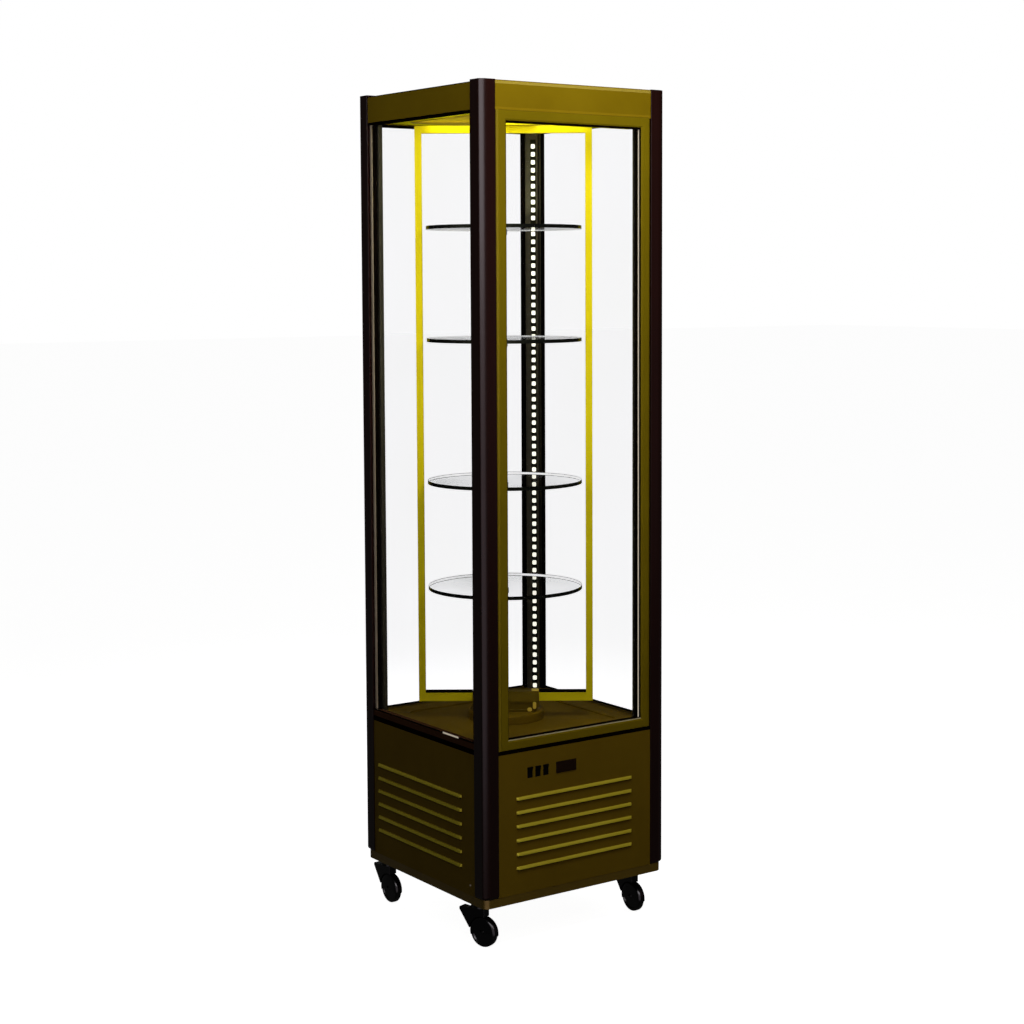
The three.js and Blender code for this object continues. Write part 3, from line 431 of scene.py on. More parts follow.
def make_piece(name, form, materials, body, replaces=(), edge=0, edge_steps=2, smooth=32):
    """The object of a form: finished, bevelled, riding on its body and standing for its nodes."""
    bmesh.ops.recalc_face_normals(form.mesh, faces=form.mesh.faces)
    data = form.finished_mesh(name)
    piece = add_object(name, data)
    for material in materials:
        data.materials.append(material)
    data.polygons.foreach_set("use_smooth", [True] * len(data.polygons))
    data.set_sharp_from_angle(angle=math.radians(smooth))
    if edge:
        bevel = piece.modifiers.new("edges", "BEVEL")
        bevel.width = edge
        bevel.segments = edge_steps
        bevel.limit_method = "ANGLE"
        bevel.angle_limit = math.radians(smooth)
        bevel.harden_normals = True
    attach(piece, body)
    if replaces:
        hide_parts(*replaces)


def refine(node, material, body, edge, edge_steps=2, smooth=32):
    """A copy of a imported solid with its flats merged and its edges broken, standing for that solid."""
    form = Form()
    mesh = form.mesh
    mesh.from_mesh(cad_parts[node].data)
    bmesh.ops.remove_doubles(mesh, verts=mesh.verts, dist=SOLID_MERGE)
    bmesh.ops.dissolve_limit(mesh, angle_limit=FLAT_ANGLE, verts=mesh.verts, edges=mesh.edges)
    for face in mesh.faces:
        face.material_index = 0
    make_piece(f"{node}_skin", form, [material], body, (node,), edge, edge_steps, smooth)


# Finishes


def srgb(red, green, blue):
    """A colour written as it shows, from 0 to 255, as the linear colour that a shader takes."""
    def linear(value):
        share = value / 255
        return share / 12.92 if share <= 0.04045 else ((share + 0.055) / 1.055) ** 2.4
    return (linear(red), linear(green), linear(blue), 1)


def fill(node, **values):
    """A node with its inputs set by name."""
    for name, value in values.items():
        node.inputs[name.replace("_", " ")].default_value = value
    return node


class Finish:
    """A material whose shader is fed by a few procedural nodes in the piece's own coordinates."""

    def __init__(self, name):
        self.material = bpy.data.materials.new(name)
        self.material.use_nodes = True
        self.tree = self.material.node_tree
        self.shader = self.tree.nodes["Principled BSDF"]
        self.place = self.tree.nodes.new("ShaderNodeTexCoord").outputs["Object"]

    def node(self, kind, **values):
        return fill(self.tree.nodes.new(kind), **values)

    def link(self, source, target):
        self.tree.links.new(source, target)

    def set(self, **values):
        fill(self.shader, **values)
        return self

    def noise(self, scale, detail, stretch):
        mapping = self.node("ShaderNodeMapping", Scale=stretch)
        item = self.node("ShaderNodeTexNoise", Scale=scale, Detail=detail, Roughness=NOISE_ROUGHNESS)
        self.link(self.place, mapping.inputs["Vector"])
        self.link(mapping.outputs["Vector"], item.inputs["Vector"])
        return item.outputs["Fac"]

    def tint(self, low, high, scale, detail, stretch=(1, 1, 1)):
        """The surface's colour, clouded between two tones."""
        item = self.node("ShaderNodeValToRGB")
        for end, position, colour in zip(item.color_ramp.elements, (TONE_START, TONE_END), (low, high)):
            end.position = position
            end.color = colour
        self.link(self.noise(scale, detail, stretch), item.inputs["Fac"])
        self.link(item.outputs["Color"], self.shader.inputs["Base Color"])
        return self

    def sheen(self, rough, scale, stretch=(1, 1, 1)):
        """The surface's roughness, clouded between two values."""
        low, high = rough
        item = self.node("ShaderNodeMapRange", To_Min=low, To_Max=high)
        self.link(self.noise(scale, 4, stretch), item.inputs["Value"])
        self.link(item.outputs["Result"], self.shader.inputs["Roughness"])
        return self

    def grain(self, scale, strength, distance, stretch=(1, 1, 1)):
        bump = self.node("ShaderNodeBump", Strength=strength, Distance=distance)
        self.link(self.noise(scale, 4, stretch), bump.inputs["Height"])
        self.link(bump.outputs["Normal"], self.shader.inputs["Normal"])
        return self

    def mix(self, factor, first, second):
        """The surface goes from the first shader to the second by the factor."""
        item = self.node("ShaderNodeMixShader")
        for source, target in zip((factor, first, second), item.inputs):
            self.link(source, target)
        self.link(item.outputs["Shader"], self.tree.nodes["Material Output"].inputs["Surface"])


def satin_metal(name, dark, light, metallic=0.08, rough=(0.36, 0.5), level=0.04):
    """Lacquered metal: faint cloudy tone, fine rolled grain and a satin gloss."""
    finish = Finish(name).tint(srgb(*dark), srgb(*light), scale=7, detail=4)
    finish.sheen(rough, scale=45).grain(scale=900, strength=0.05, distance=0.0002)
    return finish.set(Metallic=metallic, Specular_IOR_Level=level).material


def dark_lacquer(name, dark, light, rough, level):
    """Smooth paint with a soft, slightly uneven gloss."""
    finish = Finish(name).tint(srgb(*dark), srgb(*light), scale=5, detail=3).sheen(rough, scale=6)
    return finish.set(Specular_IOR_Level=level).material


def moulded_plastic(name, dark, light, rough=(0.4, 0.55), level=0.25, grain=0.12):
    """Plastic or rubber with a fine moulded grain."""
    finish = Finish(name).tint(srgb(*dark), srgb(*light), scale=30, detail=4)
    finish.sheen(rough, scale=120).grain(scale=1400, strength=grain, distance=0.0003)
    return finish.set(Specular_IOR_Level=level).material


def bare_metal(name, dark, light, rough=(0.25, 0.42)):
    """Unpainted metal, its grain drawn out level."""
    stretch = (1, 1, 8)
    finish = Finish(name).tint(srgb(*dark), srgb(*light), scale=24, detail=4, stretch=stretch)
    finish.sheen(rough, scale=160, stretch=stretch)
    finish.grain(scale=1100, strength=0.08, distance=0.0002, stretch=stretch)
    return finish.set(Metallic=0.95).material


def lit_plastic(name, dark, light, glow, strength):
    """A pale surface that gives off a little light of its own: lamps, and a painted glow on parts that are
    no lamps.
    """
    finish = Finish(name).tint(srgb(*dark), srgb(*light), scale=14, detail=3).sheen((0.45, 0.6), scale=80)
    return finish.set(Emission_Color=(*glow, 1), Emission_Strength=strength).material


def clear_glass(name, grey, ior):
    """Glass that bends what is seen through it and lets lamps shine through without a shadow."""
    colour = srgb(*grey)
    finish = Finish(name).tint(colour, srgb(254, 254, 255), scale=3, detail=2)
    finish.set(Roughness=0.0, IOR=ior, Transmission_Weight=1.0, Specular_IOR_Level=0.5)
    clear = finish.node("ShaderNodeBsdfTransparent", Color=colour)
    path = finish.node("ShaderNodeLightPath")
    finish.mix(path.outputs["Is Shadow Ray"], finish.shader.outputs["BSDF"], clear.outputs["BSDF"])
    return finish.material


def coated_sheet(name, dark, light, alpha):
    """The inner sheet of a glazed unit: nearly clear, with a faint grey tone."""
    finish = Finish(name).tint(srgb(*dark), srgb(*light), scale=3, detail=2)
    return finish.set(Roughness=0.1, Alpha=alpha, Specular_IOR_Level=0.0).material


bronze = satin_metal("bronze", (124, 100, 8), (132, 108, 11))
door_bronze = satin_metal("door_bronze", (120, 101, 8), (128, 109, 11))
# Pale colour that paints the highlight along the foot of the door's window
bead_highlight = satin_metal("bead_highlight", (214, 200, 158), (226, 212, 172), level=0.02)
# Lighter bronzes that paint the highlights along the front fascia's top and foot
top_highlight_bronze = satin_metal("top_highlight_bronze", (168, 144, 54), (176, 152, 60))
foot_highlight_bronze = satin_metal("foot_highlight_bronze", (140, 113, 14), (146, 119, 18))
panel_bronze = satin_metal("panel_bronze", (112, 88, 14), (120, 95, 17))
tray_bronze = satin_metal("tray_bronze", (112, 88, 14), (120, 95, 17), 0.3, (0.26, 0.32), 0.45)
# Lighter bronze for the louvre hoods, a painted highlight for the light they catch from above
lip_highlight_bronze = satin_metal("lip_highlight_bronze", (204, 184, 50), (214, 196, 62), rough=(0.3, 0.4))
deck_bronze = satin_metal("deck_bronze", (104, 82, 12), (114, 90, 16), level=0.02)
hub_bronze = satin_metal("hub_bronze", (88, 70, 10), (98, 80, 15), 0.1, (0.3, 0.4), 0.02)
gilt = satin_metal("gilt", (226, 206, 14), (234, 216, 20), 0.1, (0.3, 0.42), 0.02)
ceiling_gilt = satin_metal("ceiling_gilt", (228, 216, 24), (236, 224, 30), 0.05, (0.3, 0.42), 0.0)
post_lacquer = dark_lacquer("post_lacquer", (28, 6, 3), (32, 8, 4), (0.26, 0.3), 0.26)
sill_lacquer = dark_lacquer("sill_lacquer", (72, 46, 30), (80, 52, 34), (0.4, 0.5), 0.0)
black_trim = moulded_plastic("black_trim", (8, 8, 8), (14, 13, 13), level=0.08)
inner_profile = moulded_plastic("inner_profile", (62, 58, 48), (70, 66, 54), level=0.02)
gasket_rubber = moulded_plastic("gasket_rubber", (12, 12, 11), (20, 19, 18), (0.6, 0.75), 0.1)
switch_plastic = moulded_plastic("switch_plastic", (8, 6, 5), (12, 9, 8), (0.3, 0.4), 0.03)
display_plastic = moulded_plastic("display_plastic", (30, 16, 6), (36, 20, 8), (0.2, 0.3), 0.1)
caster_plastic = moulded_plastic("caster_plastic", (1, 1, 1), (3, 3, 3), (0.16, 0.2), 0.3, 0.0)
tyre_rubber = moulded_plastic("tyre_rubber", (1, 1, 1), (3, 3, 3), (0.2, 0.26), 0.35, 0.0)
steel = bare_metal("steel", (170, 170, 168), (190, 190, 188))
fin_metal = bare_metal("fin_metal", (150, 152, 154), (178, 180, 182), (0.35, 0.5))
spacer_metal = satin_metal("spacer_metal", (158, 144, 122), (168, 154, 132), 0.2, (0.35, 0.45), 0.05)
# Glows a little to paint the highlights on the door's right spacer face and on the left sill
spacer_highlight = lit_plastic("spacer_highlight", (224, 208, 180), (234, 220, 196), (1, 0.88, 0.7), 0.3)
sealant = moulded_plastic("sealant", (9, 5, 3), (13, 8, 5), (0.6, 0.7), 0.0)
strip_base = moulded_plastic("strip_base", (22, 22, 16), (32, 32, 22), level=0.0)
lamp_glow = lit_plastic("lamp_glow", (150, 126, 8), (158, 134, 12), (1, 0.86, 0.02), 0.05)
led_glow = lit_plastic("led_glow", (250, 248, 236), (255, 252, 240), (1, 0.99, 0.84), 0.95)
pane_glass = clear_glass("pane_glass", (253, 253, 253), 1.045)
pane_inner = coated_sheet("pane_inner", (28, 28, 28), (34, 34, 34), 0.012)
shelf_glass = clear_glass("shelf_glass", (205, 206, 206), 1.003)
shelf_edge = dark_lacquer("shelf_edge", (14, 15, 12), (22, 23, 19), (0.1, 0.16), 0.02)
# Glow on the inner side of the shelf rims, a painted highlight
rim_painted_glow = lit_plastic("rim_painted_glow", (244, 244, 244), (250, 250, 250), (1, 1, 1), 0.85)
# Bright brass for the small pieces that paint the highlights at the hub's right end
hub_glint_brass = satin_metal("hub_glint_brass", (226, 190, 56), (236, 202, 72), 0.1, (0.25, 0.35), 0.2)


# Casing


def post_section(side_x, side_y, height, inset):
    """The post's L section at one height, drawn inwards from its rounded corner."""
    leg = POST_LEG - inset
    drawn = [(inset, POST_ROUND_Y + POST_FLAT)]
    for u, v in arc((0, 0), 1, 180, 270, POST_STEPS):
        x = POST_ROUND_X + u * (POST_ROUND_X - inset)
        y = POST_ROUND_Y + v * (POST_ROUND_Y - inset)
        drawn.append((x, y))
    drawn += [(POST_ROUND_X + POST_FLAT, inset), (leg, inset), (leg, POST_DEPTH)]
    drawn += [(POST_DEPTH, POST_DEPTH), (POST_DEPTH, leg), (inset, leg)]
    return [(side_x * (CABINET_HALF - u), side_y * (CABINET_HALF - v), height) for u, v in drawn]


def corner_posts():
    """Four posts whose feet are rounded."""
    for name, side_x, side_y in CORNERS:
        node = f"corner_post_{name}"
        foot = arc((POST_FOOT_RADIUS, POST_FOOT_RADIUS), POST_FOOT_RADIUS, 270, 180, POST_FOOT_STEPS)
        sections = [post_section(side_x, side_y, POST_BOTTOM + rise, inset) for inset, rise in foot]
        sections.append(post_section(side_x, side_y, CABINET_TOP, 0))
        form = Form().loft(sections)
        make_piece(f"{node}_skin", form, [post_lacquer], "root", (node,), POST_EDGE, 3, 40)


def casing():
    corner_posts()
    refine("roof_cap", bronze, "root", edge=0.0008)
    front_fascia()
    fascia_highlights()
    roof_shadow_line()
    refine("base_tray", tray_bronze, "root", edge=0.001)
    refine("sill_left", sill_lacquer, "root", edge=0.0012)
    for side in ("right", "rear"):
        inner_sill(side)


def inner_sill(side):
    """The bar under a pane at the far side of the deck, level with the deck."""
    node = f"sill_{side}"
    low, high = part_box(node)
    form = Form().box(low, (high.x, high.y, DECK_TOP))
    make_piece(f"{node}_skin", form, [deck_bronze], "root", (node,), edge=0.0012)


def front_fascia():
    """The skin over the door, with a flange on top and a set-back lip that closes the gap to the door."""
    low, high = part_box("front_fascia")
    face, back = low.y, high.y
    skin = face + FASCIA_SKIN
    top = high.z + FASCIA_RISE
    outline = [
        (face, low.z),
        (face, top - FASCIA_EDGE),
        (face + FASCIA_EDGE / 2, top),
        (back, top),
        (back, top - FASCIA_SKIN),
        (skin, top - FASCIA_SKIN),
        (skin, low.z - FASCIA_LIP),
        (face + FASCIA_LIP_INSET, low.z - FASCIA_LIP),
        (face + FASCIA_LIP_INSET, low.z),
    ]
    form = Form().prism(outline, low.x, high.x, ALONG_X)
    make_piece("front_fascia_skin", form, [bronze], "root", ("front_fascia",), edge=0.0003)


def fascia_highlights():
    """Painted highlights: lighter bands along the front fascia's top and foot, standing in for the light
    its edges catch.
    """
    low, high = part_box("front_fascia")
    front, back = low.y - LINE_FRONT, low.y - LINE_BACK
    top = high.z + FASCIA_RISE
    form = Form().box((front, top - FASCIA_BAND, low.x), (back, top - FASCIA_EDGE, high.x), ALONG_X)
    form.box((front, low.z, low.x), (back, low.z + FASCIA_FOOT, high.x), ALONG_X, 1)
    make_piece("fascia_highlights", form, [top_highlight_bronze, foot_highlight_bronze], "root")


def roof_shadow_line():
    """A dark strip along the top of the left fascia that paints a shadow line."""
    top = high_of("front_fascia").z
    half = CABINET_HALF - POST_LEG - CLEARANCE
    form = Form().box((-half, top - ROOF_SHADOW_LINE, -BAND_THICKNESS), (half, top, 0), facing("left", FACE))
    make_piece("roof_shadow_line", form, [sealant], "root")


# Glazing


def edge_bars(form, low, high, thickness, foot, place, bright, lined):
    """Spacer and sealant along the sides and head of a pane, and along its foot where asked. A bar named in
    bright shows a pale face of the given depth, and the one named in lined a brown face on the inside."""
    (u0, v0), (u1, v1) = low, high
    near, far = SHEET + HAIRLINE, thickness - SHEET - HAIRLINE
    reach = SEALANT_WIDTH + SPACER_WIDTH
    start = v0 + reach if foot else v0
    bars = {
        "left": ((u0, start), (u0 + reach, v1 - HEAD_REACH)),
        "right": ((u1 - reach, start), (u1, v1 - HEAD_REACH)),
        "head": ((u0, v1 - HEAD_REACH), (u1, v1)),
    }
    if foot:
        bars["foot"] = ((u0, v0), (u1, v0 + reach))
    for name, (corner, opposite) in bars.items():
        face = bright.get(name, 0)
        back = far - LINING if name == lined else far
        form.box((*corner, near + face), (*opposite, back), place, 3)
        if name == lined:
            form.box((*corner, back + HAIRLINE), (*opposite, far), place, 4)
        if face:
            inner = min(opposite[0], u1 - SEALANT_WIDTH), opposite[1]
            outer = max(corner[0], u0 + SEALANT_WIDTH), corner[1]
            form.box((*outer, near), (*inner, near + face - HAIRLINE), place, 2)


def glazed_unit(low, high, thickness, place, bright, foot=False, lined=""):
    """Two sheets held apart by a spacer bar with a bead of sealant round it."""
    form = Form().box((*low, 0), (*high, SHEET), place, 0)
    form.box((*low, thickness - SHEET), (*high, thickness), place, 1)
    edge_bars(form, low, high, thickness, foot, place, bright, lined)
    return form


def fixed_pane(side):
    """The left pane shows its spacer's pale face and a glowing block that paints the highlight on the sill,
    the right one a brown lining.
    """
    node = f"glass_{side}"
    low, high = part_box(node)
    half, thickness = (high.x, high.y - low.y) if side == "rear" else (high.y, high.x - low.x)
    bottom, top = low.z if side == "left" else DECK_TOP + SILL_RISE, high.z
    place = facing(side, FACE)
    bright = {"left": PANE_FACE} if side == "left" else {}
    lined = "right" if side == "right" else ""
    form = glazed_unit((-half, bottom), (half, top), thickness, place, bright, lined=lined)
    form.box((-half, top - HEAD_BAND, -BAND_THICKNESS), (half, top, 0), place, 3)
    form.box((-half, bottom, -BAND_THICKNESS), (half, bottom + FOOT_BAND, 0), place, 3)
    if side == "left":
        near, far = SILL_GLINT_SPAN
        front = -2 * BAND_THICKNESS
        form.box((near, bottom, front), (far, bottom + SILL_GLINT_HEIGHT, -BAND_THICKNESS), place, 4)
    # The left pane's block glows to paint the highlight on the sill
    accent = inner_profile if side == "right" else spacer_highlight
    materials = [pane_glass, pane_inner, spacer_metal, sealant, accent]
    make_piece(f"{node}_unit", form, materials, "root", (node,))


# Inside of the display space


def interior():
    refine("ceiling_panel", ceiling_gilt, "root", edge=0.0006)
    refine("deck", deck_bronze, "root", edge=0.0008)
    refine("drive_pedestal", deck_bronze, "root", edge=0.0008, smooth=40)
    refine("top_bearing", steel, "root", edge=0.0004)
    refine("ceiling_lamp", lamp_glow, "root", edge=0.0003)
    for name, _, _ in CORNERS:
        refine(f"corner_profile_{name}", inner_profile, "root", edge=0.0005)
    for name in ("front_left", "rear_right"):
        light_strip(name)


def light_strip(name):
    """A row of small square lamps on a dark strip, facing the middle of the cabinet."""
    node = f"led_strip_{name}"
    low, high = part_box(node)
    reach = STRIP_HALF / math.sqrt(2)
    if name == "rear_right":
        origin, turn = (high.x - reach, high.y - reach, 0), 225
    else:
        origin, turn = (low.x + reach, low.y + reach, 0), 45
    place = Matrix.Translation(origin) @ Matrix.Rotation(math.radians(turn), 4, "Z")
    form = Form().box((0, -STRIP_HALF, DECK_TOP + SILL_RISE), (STRIP_BASE, STRIP_HALF, high.z), place)
    for index in range(LED_COUNT):
        bottom = DECK_TOP + LED_FOOT + LED_PITCH * index
        outline = rounded_rectangle((-LED_HALF, bottom), (LED_HALF, bottom + LED_HEIGHT), LED_RADIUS, 3)
        form.prism(outline, STRIP_BASE + GAP, STRIP_BASE + LED_RISE, place @ ALONG_X, 1)
    make_piece(f"{node}_lamps", form, [strip_base, led_glow], "root", (node,))


# Carousel


def carousel():
    shaft()
    refine("carrier_frame", gilt, "carousel", edge=0.0008, edge_steps=3)
    refine("carousel_hub_lower", hub_bronze, "carousel", edge=0.0008, edge_steps=3)
    hub_glints()
    bar_pads()
    refine("carousel_hub_upper", gilt, "carousel", edge=0.0006)
    for index in range(1, 5):
        shelf(f"shelf_{index}")


def bar_pads():
    """Black strips on the carrier's low bar, on both sides of the hub."""
    bottom = low_of("carrier_frame").z + CARRIER_LOW_BAR + GAP
    start, end = HUB_HALF + CLEARANCE, CARRIER_HALF - CARRIER_UPRIGHT - CLEARANCE
    form = Form()
    for near, far in ((-end, -start), (start, end)):
        form.box((near, -BAR_PAD_HALF, bottom), (far, BAR_PAD_HALF, bottom + BAR_PAD), CARRIER)
    make_piece("bar_pads", form, [sealant], "carousel", edge=0.0005)


def shaft():
    """The thin shaft with a small collar under each shelf."""
    radius = SHELF_HOLE - CLEARANCE
    profile = [(0, SHAFT_LOW.z), (radius, SHAFT_LOW.z)]
    for index in range(1, 5):
        seat = low_of(f"shelf_{index}").z - CLEARANCE
        profile += [(radius, seat - COLLAR_HEIGHT), (COLLAR_RADIUS, seat - COLLAR_HEIGHT)]
        profile += [(COLLAR_RADIUS, seat), (radius, seat)]
    profile += [(radius, SHAFT_HIGH.z), (0, SHAFT_HIGH.z)]
    form = Form().lathe(profile, 24, CAROUSEL)
    make_piece("carousel_shaft_skin", form, [steel], "carousel", ("carousel_shaft",), edge=0.0003)


def hub_glints():
    """Three small bright brass pieces at the right end of the hub that paint its highlights."""
    low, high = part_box("carousel_hub_lower")

    def outline(glint, rise):
        (u0, v0), (u1, v1), radius = glint
        return rounded_rectangle((HUB_HALF + u0, rise + v0), (HUB_HALF + u1, rise + v1), radius, 4)

    form = Form().prism(outline(TOP_GLINT, 0), high.z + GAP, high.z + TOP_GLINT_RISE, CARRIER)
    for glint in (UPPER_GLINT, LOWER_GLINT):
        form.prism(outline(glint, low.z), -GLINT_DEPTH, -GAP, CARRIER @ elevation(HUB_FRONT))
    make_piece("hub_glints", form, [hub_glint_brass], "carousel", edge=0.0009, edge_steps=3)


def shelf(node):
    """A glass disc inside a thin dark rim. The rim's inner side glows pale between two dark lines, a
    painted highlight.
    """
    low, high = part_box(node)
    radius = (high.x - low.x) / 2
    inner = radius - RIM_BAND
    edge = inner - HAIRLINE
    disc = [(SHELF_HOLE, low.z), (edge, low.z), (edge, high.z), (SHELF_HOLE, high.z)]
    form = Form().lathe(disc, SHELF_STEPS, CAROUSEL)
    rim = [
        (inner, low.z),
        (radius - RIM_EDGE, low.z),
        (radius, low.z + RIM_EDGE),
        (radius, high.z - RIM_EDGE),
        (radius - RIM_EDGE, high.z),
        (inner, high.z),
        (inner, high.z - RIM_LINE),
        (inner, low.z + RIM_LINE),
    ]
    form.lathe(rim, SHELF_STEPS, CAROUSEL, 1)
    # Faces of the rim's inner side between the dark lines take the glow that paints its highlight
    for face in form.mesh.faces:
        reach = max(math.hypot(v.co.x - AXIS_X, v.co.y - AXIS_Y) for v in face.verts)
        foot = min(v.co.z for v in face.verts)
        middle = low.z + RIM_LINE - HAIRLINE < foot < high.z - RIM_LINE - HAIRLINE
        if face.material_index == 1 and reach < inner + HAIRLINE and middle:
            face.material_index = 2
    materials = [shelf_glass, shelf_edge, rim_painted_glow]
    make_piece(f"{node}_disc", form, materials, "carousel", (node,))


# Door


def door_profile(side, foot, head, thickness):
    """Section of the door frame: round outer edge, flat face, bead, rebate for the pane and flat back."""
    radius = DOOR_OUTER_RADIUS
    points = []
    for inset, depth in arc((radius, radius), radius, 180, 270, DOOR_STEPS):
        rail_inset = inset * RAIL_SHARE
        points.append((depth, side - inset, foot - rail_inset, head - rail_inset))
    round_off = radius + DOOR_FLAT
    rail_off = radius * RAIL_SHARE + DOOR_FLAT
    front, back = BACK_LIP, thickness - BACK_LIP
    return points + [
        (0, side - round_off, foot - rail_off, head - rail_off),
        (0, DOOR_BEAD_WIDTH, DOOR_BEAD_HEIGHT, DOOR_BEAD_HEIGHT),
        (DOOR_BEAD_DEPTH, 0, 0, 0),
        (front, 0, 0, 0),
        (front, DOOR_REBATE, DOOR_REBATE, HEAD_REBATE),
        (back, DOOR_REBATE, DOOR_REBATE, HEAD_REBATE),
        (back, 0, 0, 0),
        (thickness, 0, 0, 0),
        (thickness, side, foot, head),
    ]


def door():
    low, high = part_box("door_glass")
    rebate = DOOR_REBATE - CLEARANCE
    window = ((low.x + rebate, low.z + rebate), (high.x - rebate, high.z - HEAD_REBATE + CLEARANCE))
    door_frame(window)
    place = facing("front", -low.y)
    corner, opposite = (low.x, low.z), (high.x, high.z)
    # The right spacer's pale face glows a little, a painted highlight
    form = glazed_unit(corner, opposite, high.y - low.y, place, {"right": SPACER_FACE}, foot=True)
    materials = [pane_glass, pane_inner, spacer_highlight, sealant]
    make_piece("door_glass_unit", form, materials, "door", ("door_glass",))
    door_seal(window, place)
    refine("door_gasket", gasket_rubber, "door", edge=0.0015, edge_steps=3)
    for end in ("bottom", "top"):
        refine(f"hinge_{end}", steel, "root", edge=0.0004)


def door_frame(window):
    low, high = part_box("door_frame")
    (_, v0), (u1, v1) = window
    profile = door_profile(high.x - u1, v0 - low.z, high.z - v1, high.y - low.y)
    form = Form().mitred_ring(window, profile, facing("front", CABINET_HALF))
    darken_back_lip(form, window, high.y)
    materials = [door_bronze, sealant]
    make_piece("door_frame_skin", form, materials, "door", ("door_frame",), 0.0003, smooth=25)


def darken_back_lip(form, window, back):
    """The gasket's black covers the inner face of the frame's back lip."""
    (u0, v0), (u1, v1) = window
    for face in form.mesh.faces:
        inside = all(
            u0 - DOOR_FLAT < v.co.x < u1 + DOOR_FLAT
            and v0 - DOOR_FLAT < v.co.z < v1 + DOOR_FLAT
            and v.co.y > back - BACK_LIP - DOOR_FLAT
            for v in face.verts
        )
        if inside:
            face.material_index = 1


def door_seal(window, place):
    """The black glazing bead round the door's window, with a thin pale strip along its foot that paints a
    highlight.
    """
    (u0, v0), (u1, v1) = window
    foot, head = v0 + SEAL_FOOT, v1 - SEAL_HEAD
    form = Form()
    for corner, opposite in (
        ((u0, foot), (u0 + SEAL_LEFT, head)),
        ((u1 - SEAL_RIGHT, foot), (u1, head)),
        ((u0, head), (u1, v1)),
        ((u0, v0), (u1, foot)),
    ):
        form.box((*corner, -SEAL_DEPTH), (*opposite, -GAP), place)
    form.box((u0, v0, -SEAL_DEPTH - FOOT_HIGHLIGHT_DEPTH), (u1, v0 + FOOT_HIGHLIGHT, -SEAL_DEPTH - GAP), place, 1)
    make_piece("door_seal", form, [sealant, bead_highlight], "door")


def seam_trims():
    """The black trims over the top edges of the front and left machine panels."""
    top = high_of("machine_panel_front").z
    corner = (-BAY, top - SEAM_LOW, -SEAM_FRONT)
    form = Form().box(corner, (BAY, top + SEAM_HIGH, SEAM_BACK), facing("front", FACE))
    make_piece("seam_trim", form, [sealant], "root", edge=0.0004)
    form = Form().box(corner, (BAY, top + SEAM_LEFT, -GAP), facing("left", FACE))
    make_piece("seam_trim_left", form, [sealant], "root")


# Machine compartment


def hood_section(lip, swell):
    """Closed section of a louvre at one place along it: w is negative outside the panel."""
    depth = -LOUVRE_DEPTH * swell
    top = lip + LOUVRE_HOOD
    nose = lip + LOUVRE_NOSE
    round_top = [(depth * u, nose + (top - nose) * v) for u, v in arc((0, 0), 1, 90, 0, LOUVRE_STEPS)]
    inner_depth = min(depth + LOUVRE_WALL, LOUVRE_ROOT)
    inner = [(inner_depth, lip), (inner_depth, nose), (LOUVRE_ROOT, top - LOUVRE_WALL)]
    return [(LOUVRE_ROOT, top), *round_top, (depth, lip), *inner]


def hood(form, start, end, lip, place):
    """One louvre, swelling from both of its ends."""
    rise = []
    for step in range(LOUVRE_END_STEPS + 1):
        share = step / LOUVRE_END_STEPS
        swell = LOUVRE_LEAST_SWELL + (1 - LOUVRE_LEAST_SWELL) * math.sin(math.pi / 2 * share)
        rise.append((LOUVRE_END * share, swell))
    stations = [(start + run, swell) for run, swell in rise]
    stations += [(end - run, swell) for run, swell in rise[::-1]]
    sections = [[(u, v, w) for w, v in hood_section(lip, swell)] for u, swell in stations]
    form.loft(sections, place, 1)


def louvre_panel(side, start, end, holes):
    """A machine panel with its louvres, their mouths, and a black sheet behind them that paints the shade
    inside the compartment.
    """
    node = f"machine_panel_{side}"
    low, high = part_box(node)
    place = facing(side, FACE)
    first = low.z + LOUVRE_RISE
    mouths = []
    form = Form()
    for index in range(LOUVRE_COUNT):
        lip = first + index * LOUVRE_PITCH
        corner = (start + LOUVRE_WALL, lip - LOUVRE_MOUTH)
        opposite = (end - LOUVRE_WALL, lip + LOUVRE_HOOD - MOUTH_HEAD)
        mouths.append(rounded_rectangle(corner, opposite, MOUTH_RADIUS, 2))
        hood(form, start, end, lip, place)
    outline = rounded_rectangle((-BAY, low.z), (BAY, high.z), PANEL_RADIUS, 2)
    form.pierced_plate(outline, [*mouths, *holes], 0, PANEL_THICKNESS, place)
    # Black sheet that paints the shade behind the louvre mouths
    shade_sheet = PANEL_THICKNESS + GAP
    corner = (start - SHADE_SHEET_MARGIN, first - SHADE_SHEET_MARGIN, shade_sheet)
    opposite = (end + SHADE_SHEET_MARGIN, first + LOUVRE_COUNT * LOUVRE_PITCH, shade_sheet + SHADE_SHEET_THICKNESS)
    form.box(corner, opposite, place, 2)
    # The hoods take the lighter bronze that paints their highlight
    make_piece(f"{node}_skin", form, [panel_bronze, lip_highlight_bronze, sealant], "root", (node,))


def panel_hole(node, inset=0):
    low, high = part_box(node)
    corner, opposite = (low.x + inset, low.z + inset), (high.x - inset, high.z - inset)
    return rounded_rectangle(corner, opposite, HOLE_RADIUS, 2)


def machine_panels():
    """Only the front panel has holes, for the controls. Opposite panels mirror each other's louvres."""
    holes = [panel_hole(f"switch_rocker_{index}") for index in (1, 2, 3)]
    holes.append(panel_hole("temperature_controller", DISPLAY_INSET))
    start, end = FRONT_LOUVRES
    louvre_panel("front", start, end, holes)
    louvre_panel("rear", -end, -start, [])
    start, end = RIGHT_LOUVRES
    louvre_panel("left", -end, -start, [])
    louvre_panel("right", start, end, [])


